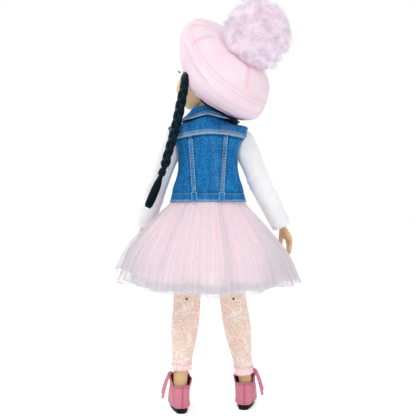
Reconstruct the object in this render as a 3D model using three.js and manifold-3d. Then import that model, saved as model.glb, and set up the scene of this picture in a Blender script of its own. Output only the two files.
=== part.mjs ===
import * as THREE from 'three';
import { mergeVertices } from 'three/addons/utils/BufferGeometryUtils.js';
import { LoftGeometry } from 'three/addons/geometries/LoftGeometry.js';
import Module from 'manifold-3d';

const wasm = await Module();
wasm.setup();

// A standing fashion doll in millimetres: x to its left, y to its back, z up from the floor.

// Clearances and cutting
const gap = 0.3;
const overrun = 80;
const weld = 0.001;

// Levels above the floor
const soleThickness = 5;
const ankleLevel = 36;
const kneeLevel = 108.5;
const hipLevel = 188;
const pelvisLevel = 206;
const shoulderLevel = 264;
const neckLevel = 286;
const chinLevel = 295;

// Trunk
// The trunk is cut for the span of the shoulders.
const shoulderHalfSpan = 34;
const shoulderInset = 4;
const trunkHalfWidth = shoulderHalfSpan - shoulderInset;
const trunkHalfDepth = 18.5;
const trunkPower = 2.4;
const trunkWall = 5;
const crotchHalfWidth = 4.2;
const crotchDrop = 26;
const crotchHalfDepth = 10;
const crotchTaper = 1 / 3;
const crotchPower = 4;
const neckRadius = 9.5;
const neckPegRadius = 5;
const neckPegLength = 12;
const neckReach = 22;
const hipHalfSpan = 18;
const hipAxleRadius = 2.5;

// Head, turned to the doll's left and tilted a little to its right
const headHeight = 71;
const headHalfWidth = 28.5;
const headHalfDepth = 30;
const headForward = 3;
const headYaw = THREE.MathUtils.degToRad(46);
const headTilt = THREE.MathUtils.degToRad(-6);
const headWall = 7;
const headPower = 2.15;
const eyeRadius = 5.6;
const eyeHalfSpan = 11.5;
const eyeHeight = 32;
const eyeSink = 4.4;
const lashThickness = 0.6;
const lashReach = 3;
const lashGap = 1.1;
const lashSteps = 6;
const hairThickness = 2.4;
const hairlineTop = 57;
const hairlineTemple = 53;
const hairlineEar = 27;
const hairlineNape = 14;
const hairlineLow = 8;

// Braids
const braidRadius = 5.4;
const braidTieRadius = 3.4;
const braidTieLength = 4;
const leftBraid = { out: 21, back: 25, level: 319, reachOut: 37, reachBack: -9, drop: 122 };
const rightBraid = { out: -27, back: -28, level: 312, reachOut: 6, reachBack: -5, drop: 112 };

// Beret
const beretRadius = 54;
const beretRise = 29;
const beretDrop = 22;
const beretBandRadius = 33;
const beretThickness = 1.6;
const beretCentre = { out: -19.3, back: 3.7, level: 327.4 };
const beretLean = { out: -0.532, back: 0.546, up: 0.647 };
const pomRadius = 30;
const pomSink = 10.3;

// Arms: each joint's place from the one above it
const armRadius = 8;
const shoulderBallRadius = 9;
const shoulderKnobRadius = 4;
const shoulderStemRadius = 2.2;
const shoulderDiscRadius = 6.5;
const shoulderDiscThickness = 3;
const elbowRadius = 6.4;
const elbowTongue = 2.6;
const elbowPinRadius = 1.3;
// Roof slopes, in degrees, that leave the elbow room to bend
const elbowRoof = { above: { front: 38, back: 18 }, below: { front: 30, back: 16 } };
const shoulderSlot = { low: 44, high: 82 };
const wristPegRadius = 1.8;
const wristPegLength = 6;
const handLength = 29;
const handHalfWidth = 6.6;
const handHalfThickness = 3.2;
const fingerRadius = 1.7;
const sleeveThickness = 0.8;
const sleeveTopRadius = 11.6;
const cuffRadius = 8.8;
const handTurn = 35;
// The hands hang beside the skirt, so the wrists follow the radius of its hem.
const tutuHemRadius = 88;
const handClearShare = 0.65;
const leftWristInset = 43.2;
const rightWristInset = 35.2;
const leftArm = { elbowOut: 16, elbowBack: 2, elbowDrop: 43,
  wristOut: handClearShare * tutuHemRadius - leftWristInset, wristBack: -29, wristDrop: 40 };
const rightArm = { elbowOut: 17, elbowBack: 2, elbowDrop: 43,
  wristOut: handClearShare * tutuHemRadius - rightWristInset, wristBack: -9, wristDrop: 42 };

// Legs: each joint's place from the one above it
const thighRadius = 13.4;
const hipDrumRadius = 12.4;
const kneeDrumRadius = 10.6;
const kneeTongue = 4;
const kneePinRadius = 1.8;
const kneeRoof = { above: { front: 2, back: 48 }, below: { front: 2, back: 36 } };
const hipRoofSlope = 0.7;
const shinRadius = 12.3;
const ankleRadius = 6.9;
const leggingThickness = 0.7;
const leggingHemLevel = 41;
const leftLeg = { kneeOut: 2.5, kneeBack: 0, ankleOut: 6, ankleBack: 6, toeOut: 9 };
const rightLeg = { kneeOut: 6.5, kneeBack: -1, ankleOut: 11.5, ankleBack: -5, toeOut: 9 };

// Feet and boots
const footHalfWidth = 8.6;
const footToe = 34;
const footHeel = 10.5;
const bootThickness = 1.4;
const bootEase = 1.8;
const bootScoop = 8;
const soleLip = 0.8;
const tieWidth = 2;
const tieThickness = 0.8;
const tieLength = 22;
const tieDrop = 2;
const tieGap = 0.15;
const tieOut = 3;
const tieBack = 2;
const tieApart = 0.3;
const tieFan = 2.7;

// White top
const shirtThickness = 0.8;

// Denim jacket
const vestThickness = 1.4;
const vestHemLevel = 203;
const vestEase = 10;
const vestLayer = 1.5;
const vestPower = 3;
const vestOpening = 9;
const armholeHalfHeight = 17;
const armholeDrop = 6;
const armholeBack = 12;
const armholeFront = 28;
const collarRadius = 11.5;
const collarFoot = 1;
const collarLean = 1;
const collarRoll = 4;
const collarHeight = 9;
const collarFall = 13;
const collarSpread = 14;
const collarThickness = 1.4;
const collarSteps = 14;
const collarSweep = 1.55 * Math.PI;
const buttonRadius = 2.2;
const buttonThickness = 1.2;
const buttonCount = 4;

// Tutu
const tuckLevel = 206.7;
const tutuHemLevel = 126;
const tutuThickness = 0.6;
const foldDepth = 3.4;
const outerFolds = 12;
const innerFolds = 8;
const foldSides = 4;
const foldSway = 3;
const liningSides = 20;
const layerSpacing = 13;
const liningHemLevel = 150;
const liningInset = 36;
const liningRadius = tutuHemRadius - liningInset;
const waistbandHeight = 6;
const waistbandThickness = 1;
const leggingEase = 0.8;
const leggingHipTop = 205.5;
const leggingHipBottom = 177;
const leggingHipEase = 2;

// Shares of the sizes above, from the first end of each piece to the other.
// Trunk rows: share of height, width, front, back, and the jacket's ease in width and in depth.
const trunkShares = [
  [0, 1, 0.98, 1, 0.3, 0.33],
  [0.12, 0.965, 0.92, 0.95, 0.26, 0.28],
  [0.25, 0.9, 0.86, 0.88, 0.1, 0.12],
  [0.4, 0.86, 0.82, 0.84, 0.03, 0.05],
  [0.55, 0.9, 0.87, 0.89, 0.08, 0.06],
  [0.66, 0.94, 0.92, 0.93, 0.3, 0.06],
  [0.75, 0.95, 0.92, 0.94, 0.66, 0.05],
  [0.83, 0.9, 0.85, 0.88, 0.86, 0.03],
  [0.89, 0.74, 0.75, 0.78, 1.1, 0],
  [0.95, 0.54, 0.64, 0.66, 0.55, 0],
  [1, 0.4, 0.58, 0.6, 0.1, 0],
];
const vestHemShares = [0, 1, 0.98, 1, 0.4, 0.42];

// Collar, from its sides to its corners: share of the spread and of the fall
const collarShares = { spread: [0.62, 1], fall: [0.32, 0.87] };

// Eyes and lashes: share of the face's depth, of the half turn where the lashes start and that they span,
// of the eye's height, and of their reach at the ends
const eyeDepthShare = 0.96;
const lashShares = { start: 0.1, span: 0.8, height: 0.62, ends: 0.5 };

// Head rows: share of height, width, front, back
const headShares = [
  [0, 0.2, 0.66, -0.2],
  [0.04, 0.42, 0.82, 0.1],
  [0.12, 0.66, 0.93, 0.4],
  [0.22, 0.88, 0.98, 0.66],
  [0.33, 0.98, 0.97, 0.84],
  [0.46, 1, 0.95, 0.96],
  [0.6, 1, 0.95, 1],
  [0.72, 0.96, 0.91, 0.99],
  [0.83, 0.84, 0.8, 0.89],
  [0.92, 0.62, 0.59, 0.68],
  [0.98, 0.32, 0.3, 0.36],
  [1, 0.1, 0.1, 0.12],
];

// Limb rows: share along, width, front, back
const thighShares = [[-0.16, 0.9, 0.97, 0.97], [0, 0.93, 1, 1], [0.17, 1, 1.02, 1.04],
  [0.4, 1.02, 1.03, 1.04], [0.65, 0.96, 0.99, 0.97], [0.88, 0.9, 0.93, 0.91], [1.15, 0.87, 0.9, 0.88]];
const shinShares = [[-0.16, 0.94, 0.94, 0.94], [0, 0.96, 0.98, 0.97], [0.14, 0.98, 0.96, 1.02],
  [0.34, 1, 0.94, 1.1], [0.6, 0.86, 0.82, 0.92], [0.8, 0.7, 0.69, 0.72], [1, 0.56, 0.57, 0.57]];
const upperArmShares = [[0, 1, 1, 1], [0.3, 0.99, 0.99, 0.99], [0.7, 0.93, 0.93, 0.93],
  [1, 0.9, 0.9, 0.9], [1.2, 0.86, 0.86, 0.86]];
const forearmShares = [[-0.02, 0.9, 0.9, 0.9], [0.25, 0.9, 0.9, 0.92],
  [0.65, 0.74, 0.72, 0.72], [1, 0.6, 0.5, 0.5]];
const upperSleeveShares = [[-0.17, 0.58], [-0.1, 0.86], [0, 1], [0.45, 0.93], [0.86, 0.9]];
const elbowSleeveShare = 0.96;
const lowerSleeveShares = [[0.16, 0.88], [0.5, 0.82], [0.9, 0.78]];
const cuffShare = 0.98;
const palmShares = [[0.03, 0.72, 0.85], [0.18, 0.86, 1], [0.36, 1, 1], [0.52, 0.96, 0.8]];
const fingerShares = [[-0.78, 0.93, 0.9], [-0.26, 0.95, 1], [0.26, 0.95, 0.97], [0.76, 0.9, 0.86]];
const fingerRootShare = 0.46;
const fingerSpreadShares = [0.95, 0.82];
const fingerCurlShare = 0.6;
const fingerTaperShares = [[0, 1], [0.45, 1], [0.85, 0.85], [1, 0.4]];
const thumbShares = { rootOut: 0.5, root: 0.18, tipOut: 1.3, tip: 0.56, curl: 0.5, girth: 1.1 };
const hemLeggingShare = 0.66;

// Foot rows: share of height from the sole to the ankle, and share of the sole's outline in the ring there
const footShares = [[0, 0.96], [0.08, 1], [0.25, 0.96], [0.42, 0.74], [0.6, 0.4], [0.8, 0.12], [1, 0]];
const outlineShares = [[1, 0.02], [0.94, 0.5], [0.78, 0.86], [0.5, 1], [0.1, 0.86], [-0.4, 0.74],
  [-0.84, 0.6], [-1, 0.16]];

// Tutu rows: share of height, of the flare, of the fold depth
const tutuShares = [[0, 0, 0], [0.07, 0.03, 0.05], [0.2, 0.2, 0.25], [0.42, 0.48, 0.6], [0.66, 0.77, 0.85],
  [1, 1, 1.1]];
const innerHemShares = [0.85, 0.9, 0.98];
const liningShares = [[0, 0, 0], [0.1, 0.03, 0], [0.35, 0.35, 0], [1, 1, 0]];

// Beret rows: share of the radius and of the rise or drop
const crownShares = [[0, 1], [0.3, 0.99], [0.55, 0.92], [0.76, 0.75], [0.9, 0.48], [0.975, 0.2], [1, 0]];
const undersideShares = [[1, 0.02], [0.985, 0.3], [0.9, 0.62], [0.76, 0.84]];
const undersideInnerShare = 0.9;
// How the soft rim strays from a circle and from a plane, for each count of waves round it: shares of the
// radius, by cosine and by sine; and how far the crown puffs, with how much of that the underside sags
const rimOutShares = [[0.033, -0.016], [-0.041, -0.103], [0.043, -0.069]];
const rimLiftShares = [[0.174, 0.05], [-0.059, -0.125]];
const puffShares = { all: -0.009, cosine: 0.012, sine: 0.053, power: 1.6, under: -0.6, ends: 0.96 };

// Braid rows: share of the route, out, back, down, and thickness
const braidShares = [[0, 0, 0, 0.8], [0.2, 0.13, 0.12, 0.95], [0.42, 0.3, 0.27, 0.9],
  [0.58, 0.46, 0.44, 0.85], [0.7, 0.58, 0.68, 0.75]];
const tasselShares = [[0.735, 0.63, 0.76, 0.42], [0.82, 0.74, 0.85, 0.68], [0.92, 0.88, 0.94, 0.76],
  [1, 1, 1, 0.66]];

// Ring counts
const trunkSides = 16;
const headSides = 14;
const limbSides = 10;
const ballSides = 10;
const drumSides = 14;
const beretSides = 20;
const fingerSides = 6;
const braidSides = 8;

const colours = {
  skin: 0xe3c094, eye: 0x3a2a20, lash: 0x14110f, hair: 0x10131c, band: 0x1b1f2a, felt: 0xf2d0dc,
  fur: 0xf7dde8, denim: 0x2a6cab, brass: 0xb9a27a, cotton: 0xf4f3f4, tulle: 0xf3dbe4, satin: 0xeec6d4,
  elastic: 0xecc3d2, lace: 0xf0d3d2, suede: 0xd97f93, rubber: 0x1c1a1c, plastic: 0xd8c3a4, steel: 0xb8bcc0,
};

const vec = (x, y, z) => new THREE.Vector3(x, y, z);
const squared = (value, power) => Math.sign(value) * Math.abs(value) ** (2 / power);

// A ring of points with its own half width and its own depth to the front and to the back
function ring({ centre = vec(0, 0, 0), width, front, back = front, power = 2, sides = limbSides,
  across = vec(1, 0, 0), behind = vec(0, 1, 0) }) {
  const points = [];
  for (let i = 0; i < sides; i++) {
    const angle = (2 * Math.PI * i) / sides;
    const side = squared(Math.cos(angle), power) * width;
    const rear = squared(Math.sin(angle), power);
    const depth = rear > 0 ? back : front;
    points.push(centre.clone().addScaledVector(across, side).addScaledVector(behind, rear * depth));
  }
  return points;
}

// A closed solid from a geometry, with its faces turned out
function solid(geometry) {
  const bare = new THREE.BufferGeometry();
  bare.setAttribute('position', geometry.attributes.position);
  bare.setIndex(geometry.index);
  const merged = mergeVertices(bare, weld);
  const corners = Array.from(merged.index.array);
  const faces = [];
  for (let i = 0; i < corners.length; i += 3) {
    const face = corners.slice(i, i + 3);
    if (new Set(face).size === 3) faces.push(...face);
  }
  const build = (order) => new wasm.Manifold(new wasm.Mesh({
    numProp: 3,
    vertProperties: new Float32Array(merged.attributes.position.array),
    triVerts: new Uint32Array(order),
  }));
  const made = build(faces);
  return made.volume() > 0 ? made : build(faces.toReversed());
}

function geometryOf(made) {
  const { vertProperties, triVerts, numProp } = made.getMesh();
  const geometry = new THREE.BufferGeometry();
  geometry.setAttribute('position', new THREE.BufferAttribute(Float32Array.from(vertProperties), numProp));
  geometry.setIndex(new THREE.BufferAttribute(Uint32Array.from(triVerts), 1));
  geometry.computeVertexNormals();
  return geometry;
}

function mesh(name, made, color, roughness = 0.8, metalness = 0) {
  const material = new THREE.MeshStandardMaterial({ color, roughness, metalness });
  const piece = new THREE.Mesh(geometryOf(made), material);
  piece.name = name;
  return piece;
}

// A closed loft through rings, each end drawn in to its middle
function loft(rings) {
  const middle = (points) => {
    const centre = points.reduce((sum, point) => sum.add(point), vec(0, 0, 0)).divideScalar(points.length);
    return points.map(() => centre);
  };
  return solid(new LoftGeometry([middle(rings[0]), ...rings, middle(rings.at(-1))]));
}

// The wall of an open tube, up its outer rings and down its inner ones
const wall = (outer, inner) => solid(new LoftGeometry([...outer, ...inner.toReversed(), outer[0]]));

// Rings square to the line between two points, from rows of shares of a girth
function limbRings(from, to, rows, girth, extra = 0, sides = limbSides) {
  const line = to.clone().sub(from);
  const direction = line.clone().normalize();
  const across = vec(1, 0, 0).addScaledVector(direction, -direction.x).normalize();
  const behind = across.clone().cross(direction);
  return rows.map(([share, width, front, back]) => ring({
    centre: from.clone().addScaledVector(line, share),
    width: width * girth + extra,
    front: front * girth + extra,
    back: back * girth + extra,
    across,
    behind,
    sides,
  }));
}

const sphere = (radius, centre, sides = ballSides) => solid(
  new THREE.SphereGeometry(radius, sides, sides / 2).translate(centre.x, centre.y, centre.z));

// A cylinder lying along x
const drum = (radius, halfLength, centre = vec(0, 0, 0)) => solid(
  new THREE.CylinderGeometry(radius, radius, 2 * halfLength, drumSides).rotateZ(Math.PI / 2)
    .translate(centre.x, centre.y, centre.z));

const upright = (radius, from, to, centre = vec(0, 0, 0)) => solid(
  new THREE.CylinderGeometry(radius, radius, to - from, drumSides).rotateX(Math.PI / 2)
    .translate(centre.x, centre.y, (from + to) / 2));

const block = (low, high) => {
  const size = high.clone().sub(low);
  const centre = low.clone().add(high).multiplyScalar(1 / 2);
  return solid(new THREE.BoxGeometry(size.x, size.y, size.z).translate(centre.x, centre.y, centre.z));
};

// A prism along x from an outline in y and z
function prism(outline, halfWidth) {
  const shape = new THREE.Shape(outline.map(([y, z]) => new THREE.Vector2(y, z)));
  const geometry = new THREE.ExtrudeGeometry(shape, { depth: 2 * halfWidth, bevelEnabled: false });
  const turn = new THREE.Matrix4().makeBasis(vec(0, 1, 0), vec(0, 0, 1), vec(1, 0, 0));
  return solid(geometry.translate(0, 0, -halfWidth).applyMatrix4(turn));
}

// Cuts two limbs into a pinned hinge that turns about x at a pivot.
// The roof slopes, in degrees, leave room to bend: to the front and the back, above and below the pivot.
function hinge({ upper, lower, pivot, radius, tongue, pinRadius, pinHalf, above, below }) {
  const slope = (degrees) => overrun * Math.tan(THREE.MathUtils.degToRad(degrees));
  const shift = (y, z) => [pivot.y + y, pivot.z + z];
  const roof = prism([shift(0, 0), shift(overrun, slope(above.back)), shift(overrun, -overrun),
    shift(-overrun, -overrun), shift(-overrun, slope(above.front))], overrun);
  const floor = prism([shift(0, 0), shift(overrun, -slope(below.back)), shift(overrun, overrun),
    shift(-overrun, overrun), shift(-overrun, -slope(below.front))], overrun);
  const bore = drum(pinRadius + gap, overrun, pivot);
  const cheeks = drum(radius + gap, overrun, pivot).subtract(drum(2 * radius, tongue, pivot));
  return {
    upper: upper.subtract(roof.subtract(drum(radius, overrun, pivot)))
      .subtract(drum(radius + gap, tongue + gap, pivot)).subtract(bore),
    lower: lower.subtract(floor).subtract(cheeks).add(drum(radius, tongue, pivot)).subtract(bore),
    pin: drum(pinRadius, pinHalf, pivot),
  };
}

// Trunk

// The trunk's rings, grown all round by an offset and by shares of the jacket's ease
function trunkRings({ extra = 0, ease = 0, power = trunkPower, rows = trunkShares, bottom = pelvisLevel }) {
  return rows.map((row, i) => {
    const [share, width, front, back, easeWidth, easeDepth] = row;
    return ring({
      centre: vec(0, 0, i === 0 ? bottom : pelvisLevel + share * (neckLevel - pelvisLevel)),
      width: width * trunkHalfWidth + extra + easeWidth * ease,
      front: front * trunkHalfDepth + extra + easeDepth * ease,
      back: back * trunkHalfDepth + extra + easeDepth * ease,
      power,
      sides: trunkSides,
    });
  });
}

const shoulderAt = (side) => vec(side * shoulderHalfSpan, 0, shoulderLevel);

// The room that a sleeve and the arm's ball take, with a gap round them
function sleeveSpace(side, arm) {
  const at = shoulderAt(side);
  const move = new THREE.Matrix4().makeTranslation(at.x, at.y, at.z);
  const round = sphere(sleeveTopRadius + 2 * gap, at);
  return place(geometryOf(loft(sleeveRings(side, arm, gap))), move).add(round);
}

function trunk() {
  const inside = trunkRings({ extra: -trunkWall }).slice(1, 6);
  const crotch = loft([0, 1 / 2, 1].map((share) => ring({
    centre: vec(0, 0, pelvisLevel + gap - share * crotchDrop),
    width: crotchHalfWidth - gap,
    front: crotchHalfDepth * (1 - share * crotchTaper),
    power: crotchPower,
  })));
  let whole = loft(trunkRings({})).add(crotch).subtract(loft(inside));
  const bore = upright(neckPegRadius + gap, neckLevel - neckPegLength - gap, overrun + neckLevel);
  whole = whole.subtract(bore);
  whole = whole.subtract(drum(hipAxleRadius + gap, overrun, vec(0, 0, hipLevel)));
  for (const side of [-1, 1]) {
    whole = whole.subtract(sphere(shoulderBallRadius + gap, shoulderAt(side)));
    const seat = shoulderHalfSpan - shoulderBallRadius - shoulderDiscThickness;
    whole = whole.subtract(drum(shoulderDiscRadius + gap, (overrun - seat) / 2 + gap,
      vec(side * ((overrun + seat) / 2), 0, shoulderLevel)));
  }
  const ceiling = neckLevel + overrun;
  const behind = block(vec(-overrun, -gap / 2, 0), vec(overrun, overrun, ceiling));
  const before = block(vec(-overrun, -overrun, 0), vec(overrun, gap / 2, ceiling));
  return { front: whole.subtract(behind), back: whole.subtract(before) };
}

const neck = () => upright(neckRadius, neckLevel + gap, neckLevel + neckReach)
  .add(upright(neckPegRadius, neckLevel - neckPegLength, neckLevel + neckReach / 2));

const hipAxle = () => drum(hipAxleRadius, hipHalfSpan + hipDrumRadius / 2, vec(0, 0, hipLevel));

// White top: a tube round the trunk, open at the shoulders for the arms
function shirt() {
  const body = wall(trunkRings({ extra: gap + shirtThickness }), trunkRings({ extra: gap }));
  return body.subtract(sleeveSpace(1, leftArm)).subtract(sleeveSpace(-1, rightArm));
}

// Denim jacket
function vest() {
  const rows = [vestHemShares, ...trunkShares];
  const outside = vestLayer + vestThickness;
  const shape = { ease: vestEase, power: vestPower, rows, bottom: vestHemLevel };
  const rings = (extra) => trunkRings({ ...shape, extra });
  let whole = wall(rings(outside), rings(vestLayer));
  const holeLevel = shoulderLevel - armholeDrop;
  for (const [side, arm] of [[-1, rightArm], [1, leftArm]]) {
    whole = whole.subtract(sleeveSpace(side, arm));
    const middle = side * (overrun / 2 + armholeFront - armholeBack);
    const hole = new THREE.CylinderGeometry(1, 1, overrun, drumSides).rotateZ(Math.PI / 2)
      .scale(1, armholeBack, armholeHalfHeight).translate(middle, 0, holeLevel);
    whole = whole.subtract(solid(hole));
    const reach = [side * armholeFront, side * overrun].sort((a, b) => a - b);
    whole = whole.subtract(block(vec(reach[0], -overrun, holeLevel - armholeHalfHeight),
      vec(reach[1], 0, holeLevel + armholeHalfHeight)));
  }
  const ceiling = neckLevel + overrun;
  const back = whole.subtract(block(vec(-overrun, -overrun, 0), vec(overrun, gap / 2, ceiling)));
  const front = whole.subtract(block(vec(-overrun, -gap / 2, 0), vec(overrun, overrun, ceiling)));
  const side = (sign) => {
    const edge = sign * vestOpening / 2;
    const reach = [edge, -sign * overrun].sort((a, b) => a - b);
    return front.subtract(block(vec(reach[0], -overrun, 0), vec(reach[1], overrun, ceiling)));
  };
  return { back, left: side(1), right: side(-1), filled: loft(rings(outside + gap)) };
}

// A folded collar: one section swept round the neck, deeper at its two front points
function collar(jacket) {
  const foot = neckLevel + collarFoot;
  const top = neckLevel + collarHeight;
  const sections = [];
  for (let i = 0; i <= collarSteps; i++) {
    const turn = collarSweep * (i / collarSteps - 1 / 2);
    const corner = Math.sin(turn) ** 2;
    const towards = ([from, to]) => from + corner * (to - from);
    const [spread, fall] = [towards(collarShares.spread), towards(collarShares.fall)];
    const edge = collarRadius + collarSpread * spread;
    const low = foot - collarFall * fall;
    const roll = top - collarLean;
    sections.push([
      [collarRadius, foot],
      [collarRadius + collarLean, top],
      [collarRadius + collarLean + collarThickness, top + collarThickness / 2],
      [collarRadius + collarRoll, roll],
      [edge, low + collarThickness],
      [edge, low],
      [collarRadius + collarRoll - gap, roll - 2 * collarThickness],
      [collarRadius + collarThickness, foot],
    ].map(([radius, level]) => vec(radius * Math.sin(turn), radius * Math.cos(turn), level)));
  }
  return loft(sections).subtract(jacket.filled);
}

function button(level) {
  const row = trunkShares.findLast(([share]) => pelvisLevel + share * (neckLevel - pelvisLevel) <= level);
  const next = trunkShares[trunkShares.indexOf(row) + 1];
  const height = neckLevel - pelvisLevel;
  const mix = (level - pelvisLevel - row[0] * height) / ((next[0] - row[0]) * height);
  const blend = (column) => row[column] + mix * (next[column] - row[column]);
  const front = blend(2) * trunkHalfDepth + blend(5) * vestEase + vestLayer + vestThickness;
  const geometry = new THREE.CylinderGeometry(buttonRadius, buttonRadius, buttonThickness, limbSides);
  return solid(geometry.translate(-vestOpening, -front - gap - buttonThickness / 2, level));
}

// Tutu and its band

function tutuRings({ topLevel, hemLevel, waistWidth, waistDepth, radius, folds, rows, extra, sides }) {
  return rows.map(([down, flare, fold]) => {
    const points = [];
    for (let i = 0; i < sides; i++) {
      const angle = (2 * Math.PI * i) / sides;
      const ripple = folds ? Math.cos(folds * angle + Math.sin(foldSway * angle)) : 0;
      const grow = extra + fold * foldDepth * ripple;
      const width = waistWidth + flare * (radius - waistWidth) + grow;
      const depth = waistDepth + flare * (radius - waistDepth) + grow;
      const power = trunkPower + flare * (2 - trunkPower);
      points.push(vec(width * squared(Math.cos(angle), power), depth * squared(Math.sin(angle), power),
        topLevel + down * (hemLevel - topLevel)));
    }
    return points;
  });
}

// One layer of the skirt, counted out from the leggings
function tutuLayer(layer, sizes) {
  const out = gap + leggingThickness + layer * (gap + tutuThickness);
  const shape = { waistWidth: trunkHalfWidth + out, waistDepth: trunkHalfDepth + out, topLevel: tuckLevel,
    hemLevel: tutuHemLevel, folds: 0, sides: foldSides * (sizes.folds ?? 0), ...sizes };
  return wall(tutuRings({ ...shape, extra: 0 }), tutuRings({ ...shape, extra: -tutuThickness }));
}

const lining = () => tutuLayer(1, { hemLevel: liningHemLevel, radius: liningRadius, rows: liningShares,
  sides: liningSides });

const tulleInner = () => tutuLayer(2, { radius: tutuHemRadius - layerSpacing, folds: innerFolds,
  rows: [...tutuShares.slice(0, -1), innerHemShares] });

const tulleOuter = () => tutuLayer(3, { radius: tutuHemRadius, folds: outerFolds, rows: tutuShares });

function waistband() {
  const rise = (extra) => [tuckLevel + gap, tuckLevel + waistbandHeight].map((level) => ring({
    centre: vec(0, 0, level),
    width: trunkHalfWidth + gap + shirtThickness + extra,
    front: trunkHalfDepth + gap + shirtThickness + extra,
    power: trunkPower,
    sides: trunkSides,
  }));
  return wall(rise(gap + waistbandThickness), rise(gap));
}

// Leggings: a hip part, and a leg on each side that follows the thigh and the shin
function leggingHips() {
  const middle = (leggingHipBottom + leggingHipTop) / 2;
  const seat = hipHalfSpan + thighRadius + leggingHipEase;
  const rows = [[leggingHipBottom, seat], [middle, seat - leggingEase], [leggingHipTop, trunkHalfWidth]];
  const rise = (extra) => rows.map(([level, width]) => ring({
    centre: vec(0, 0, level),
    width: width + extra,
    front: trunkHalfDepth + extra,
    power: trunkPower,
    sides: trunkSides,
  }));
  return wall(rise(leggingThickness + gap), rise(gap));
}

// Legs

const kneeOffset = (side, leg) => vec(side * leg.kneeOut, leg.kneeBack, kneeLevel - hipLevel);
const ankleOffset = (side, leg) => vec(side * leg.ankleOut, leg.ankleBack, ankleLevel - kneeLevel);

function footMatrix(side, leg) {
  const turn = side * THREE.MathUtils.degToRad(leg.toeOut);
  const ankle = ankleOffset(side, leg);
  return new THREE.Matrix4().makeRotationZ(turn).setPosition(ankle.x, ankle.y, -kneeLevel);
}

// The outline of the foot seen from above, as a ring from the doll's left, over the back, to its right
function outline(extra) {
  const half = outlineShares.map(([along, width]) => {
    const y = along > 0 ? -along * (footToe + extra) : -along * (footHeel + extra);
    return [width * footHalfWidth + extra * Math.min(1, 4 * width), y];
  });
  return [...half.toReversed(), ...half.map(([x, y]) => [-x, y])];
}

// Rings from the sole's outline up to a round ring at the ankle
function footRings(extra, ankleExtra) {
  const low = soleThickness + gap;
  const rim = outline(extra);
  return footShares.map(([up, share]) => rim.map(([x, y], i) => {
    const angle = Math.PI / 2 - (2 * Math.PI * (i + 1 / 2)) / rim.length;
    const radius = ankleRadius + ankleExtra;
    const at = vec(radius * Math.cos(angle), radius * Math.sin(angle), 0);
    return at.lerp(vec(x, y, 0), share).setZ(low + up * (ankleLevel - low));
  }));
}

function sole() {
  const rim = outline(bootThickness + gap + soleLip).map(([x, y]) => new THREE.Vector2(x, y));
  return new THREE.ExtrudeGeometry(new THREE.Shape(rim), { depth: soleThickness, bevelEnabled: false });
}

// The boot round the foot, scooped out behind the ankle
function bootUpper() {
  return wall(footRings(gap + bootThickness, bootEase + bootThickness), footRings(gap, bootEase))
    .subtract(drum(bootScoop, overrun, vec(0, ankleRadius + bootEase, ankleLevel)));
}

function place(geometry, matrix) {
  return solid(geometry.clone().applyMatrix4(matrix));
}

// The rings of a legging from under the hip to the hem above the ankle, seen from the hip
function leggingRings(side, leg, extra) {
  const knee = kneeOffset(side, leg);
  const ankle = knee.clone().add(ankleOffset(side, leg));
  const hem = [(kneeLevel - leggingHemLevel) / (kneeLevel - ankleLevel), ...Array(3).fill(hemLeggingShare)];
  return [
    ...limbRings(vec(0, 0, 0), knee, thighShares.slice(2, 6), thighRadius, extra),
    ...limbRings(knee, ankle, [...shinShares.slice(1, 6), hem], shinRadius, extra),
  ];
}

function legPieces(side, leg) {
  const knee = kneeOffset(side, leg);
  const matrix = footMatrix(side, leg);
  const thighSolid = loft(limbRings(vec(0, 0, 0), knee, thighShares, thighRadius));
  const shinSolid = loft(limbRings(vec(0, 0, 0), ankleOffset(side, leg), shinShares, shinRadius))
    .add(place(geometryOf(loft(footRings(0, 0))), matrix));
  const toKnee = new THREE.Matrix4().makeTranslation(-knee.x, -knee.y, -knee.z);
  const joint = hinge({
    upper: place(geometryOf(thighSolid), toKnee),
    lower: shinSolid,
    pivot: vec(0, 0, 0),
    radius: kneeDrumRadius,
    tongue: kneeTongue,
    pinRadius: kneePinRadius,
    pinHalf: kneeDrumRadius - 1,
    ...kneeRoof,
  });
  const back = toKnee.clone().invert();
  const roof = prism([[0, 0], [overrun, -overrun * hipRoofSlope], [overrun, overrun], [-overrun, overrun],
    [-overrun, -overrun * hipRoofSlope]], overrun);
  const thigh = place(geometryOf(joint.upper), back).subtract(roof.subtract(drum(hipDrumRadius, overrun)))
    .subtract(drum(hipAxleRadius + gap, overrun));
  const outside = leggingRings(side, leg, leggingEase + leggingThickness);
  return {
    thigh,
    shin: joint.lower,
    pin: place(geometryOf(joint.pin), back),
    legging: wall(outside, leggingRings(side, leg, leggingEase)),
    upper: place(geometryOf(bootUpper()), matrix),
    sole: place(sole(), matrix),
    tie: place(geometryOf(bootTie(side)), matrix),
  };
}

// A folded suede strip that hangs in two tails on the outer side of the boot
function bootTie(side) {
  const radius = ankleRadius + bootEase + bootThickness + tieGap;
  const tail = (way, length) => loft([0, 1 / 3, 2 / 3, 1].map((share) => {
    const near = side * (radius + share * tieOut);
    const far = near + side * tieThickness;
    const y = tieBack + way * (tieApart + share * tieFan);
    const z = ankleLevel - tieDrop - share * length;
    return [vec(near, y - tieWidth / 2, z), vec(far, y - tieWidth / 2, z), vec(far, y + tieWidth / 2, z),
      vec(near, y + tieWidth / 2, z)];
  }));
  return tail(1, tieLength).add(tail(-1, tieLength - tieDrop));
}

// Arms

const elbowOffset = (side, arm) => vec(side * arm.elbowOut, arm.elbowBack, -arm.elbowDrop);
const wristOffset = (side, arm) => vec(side * arm.wristOut, arm.wristBack, -arm.wristDrop);

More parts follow.
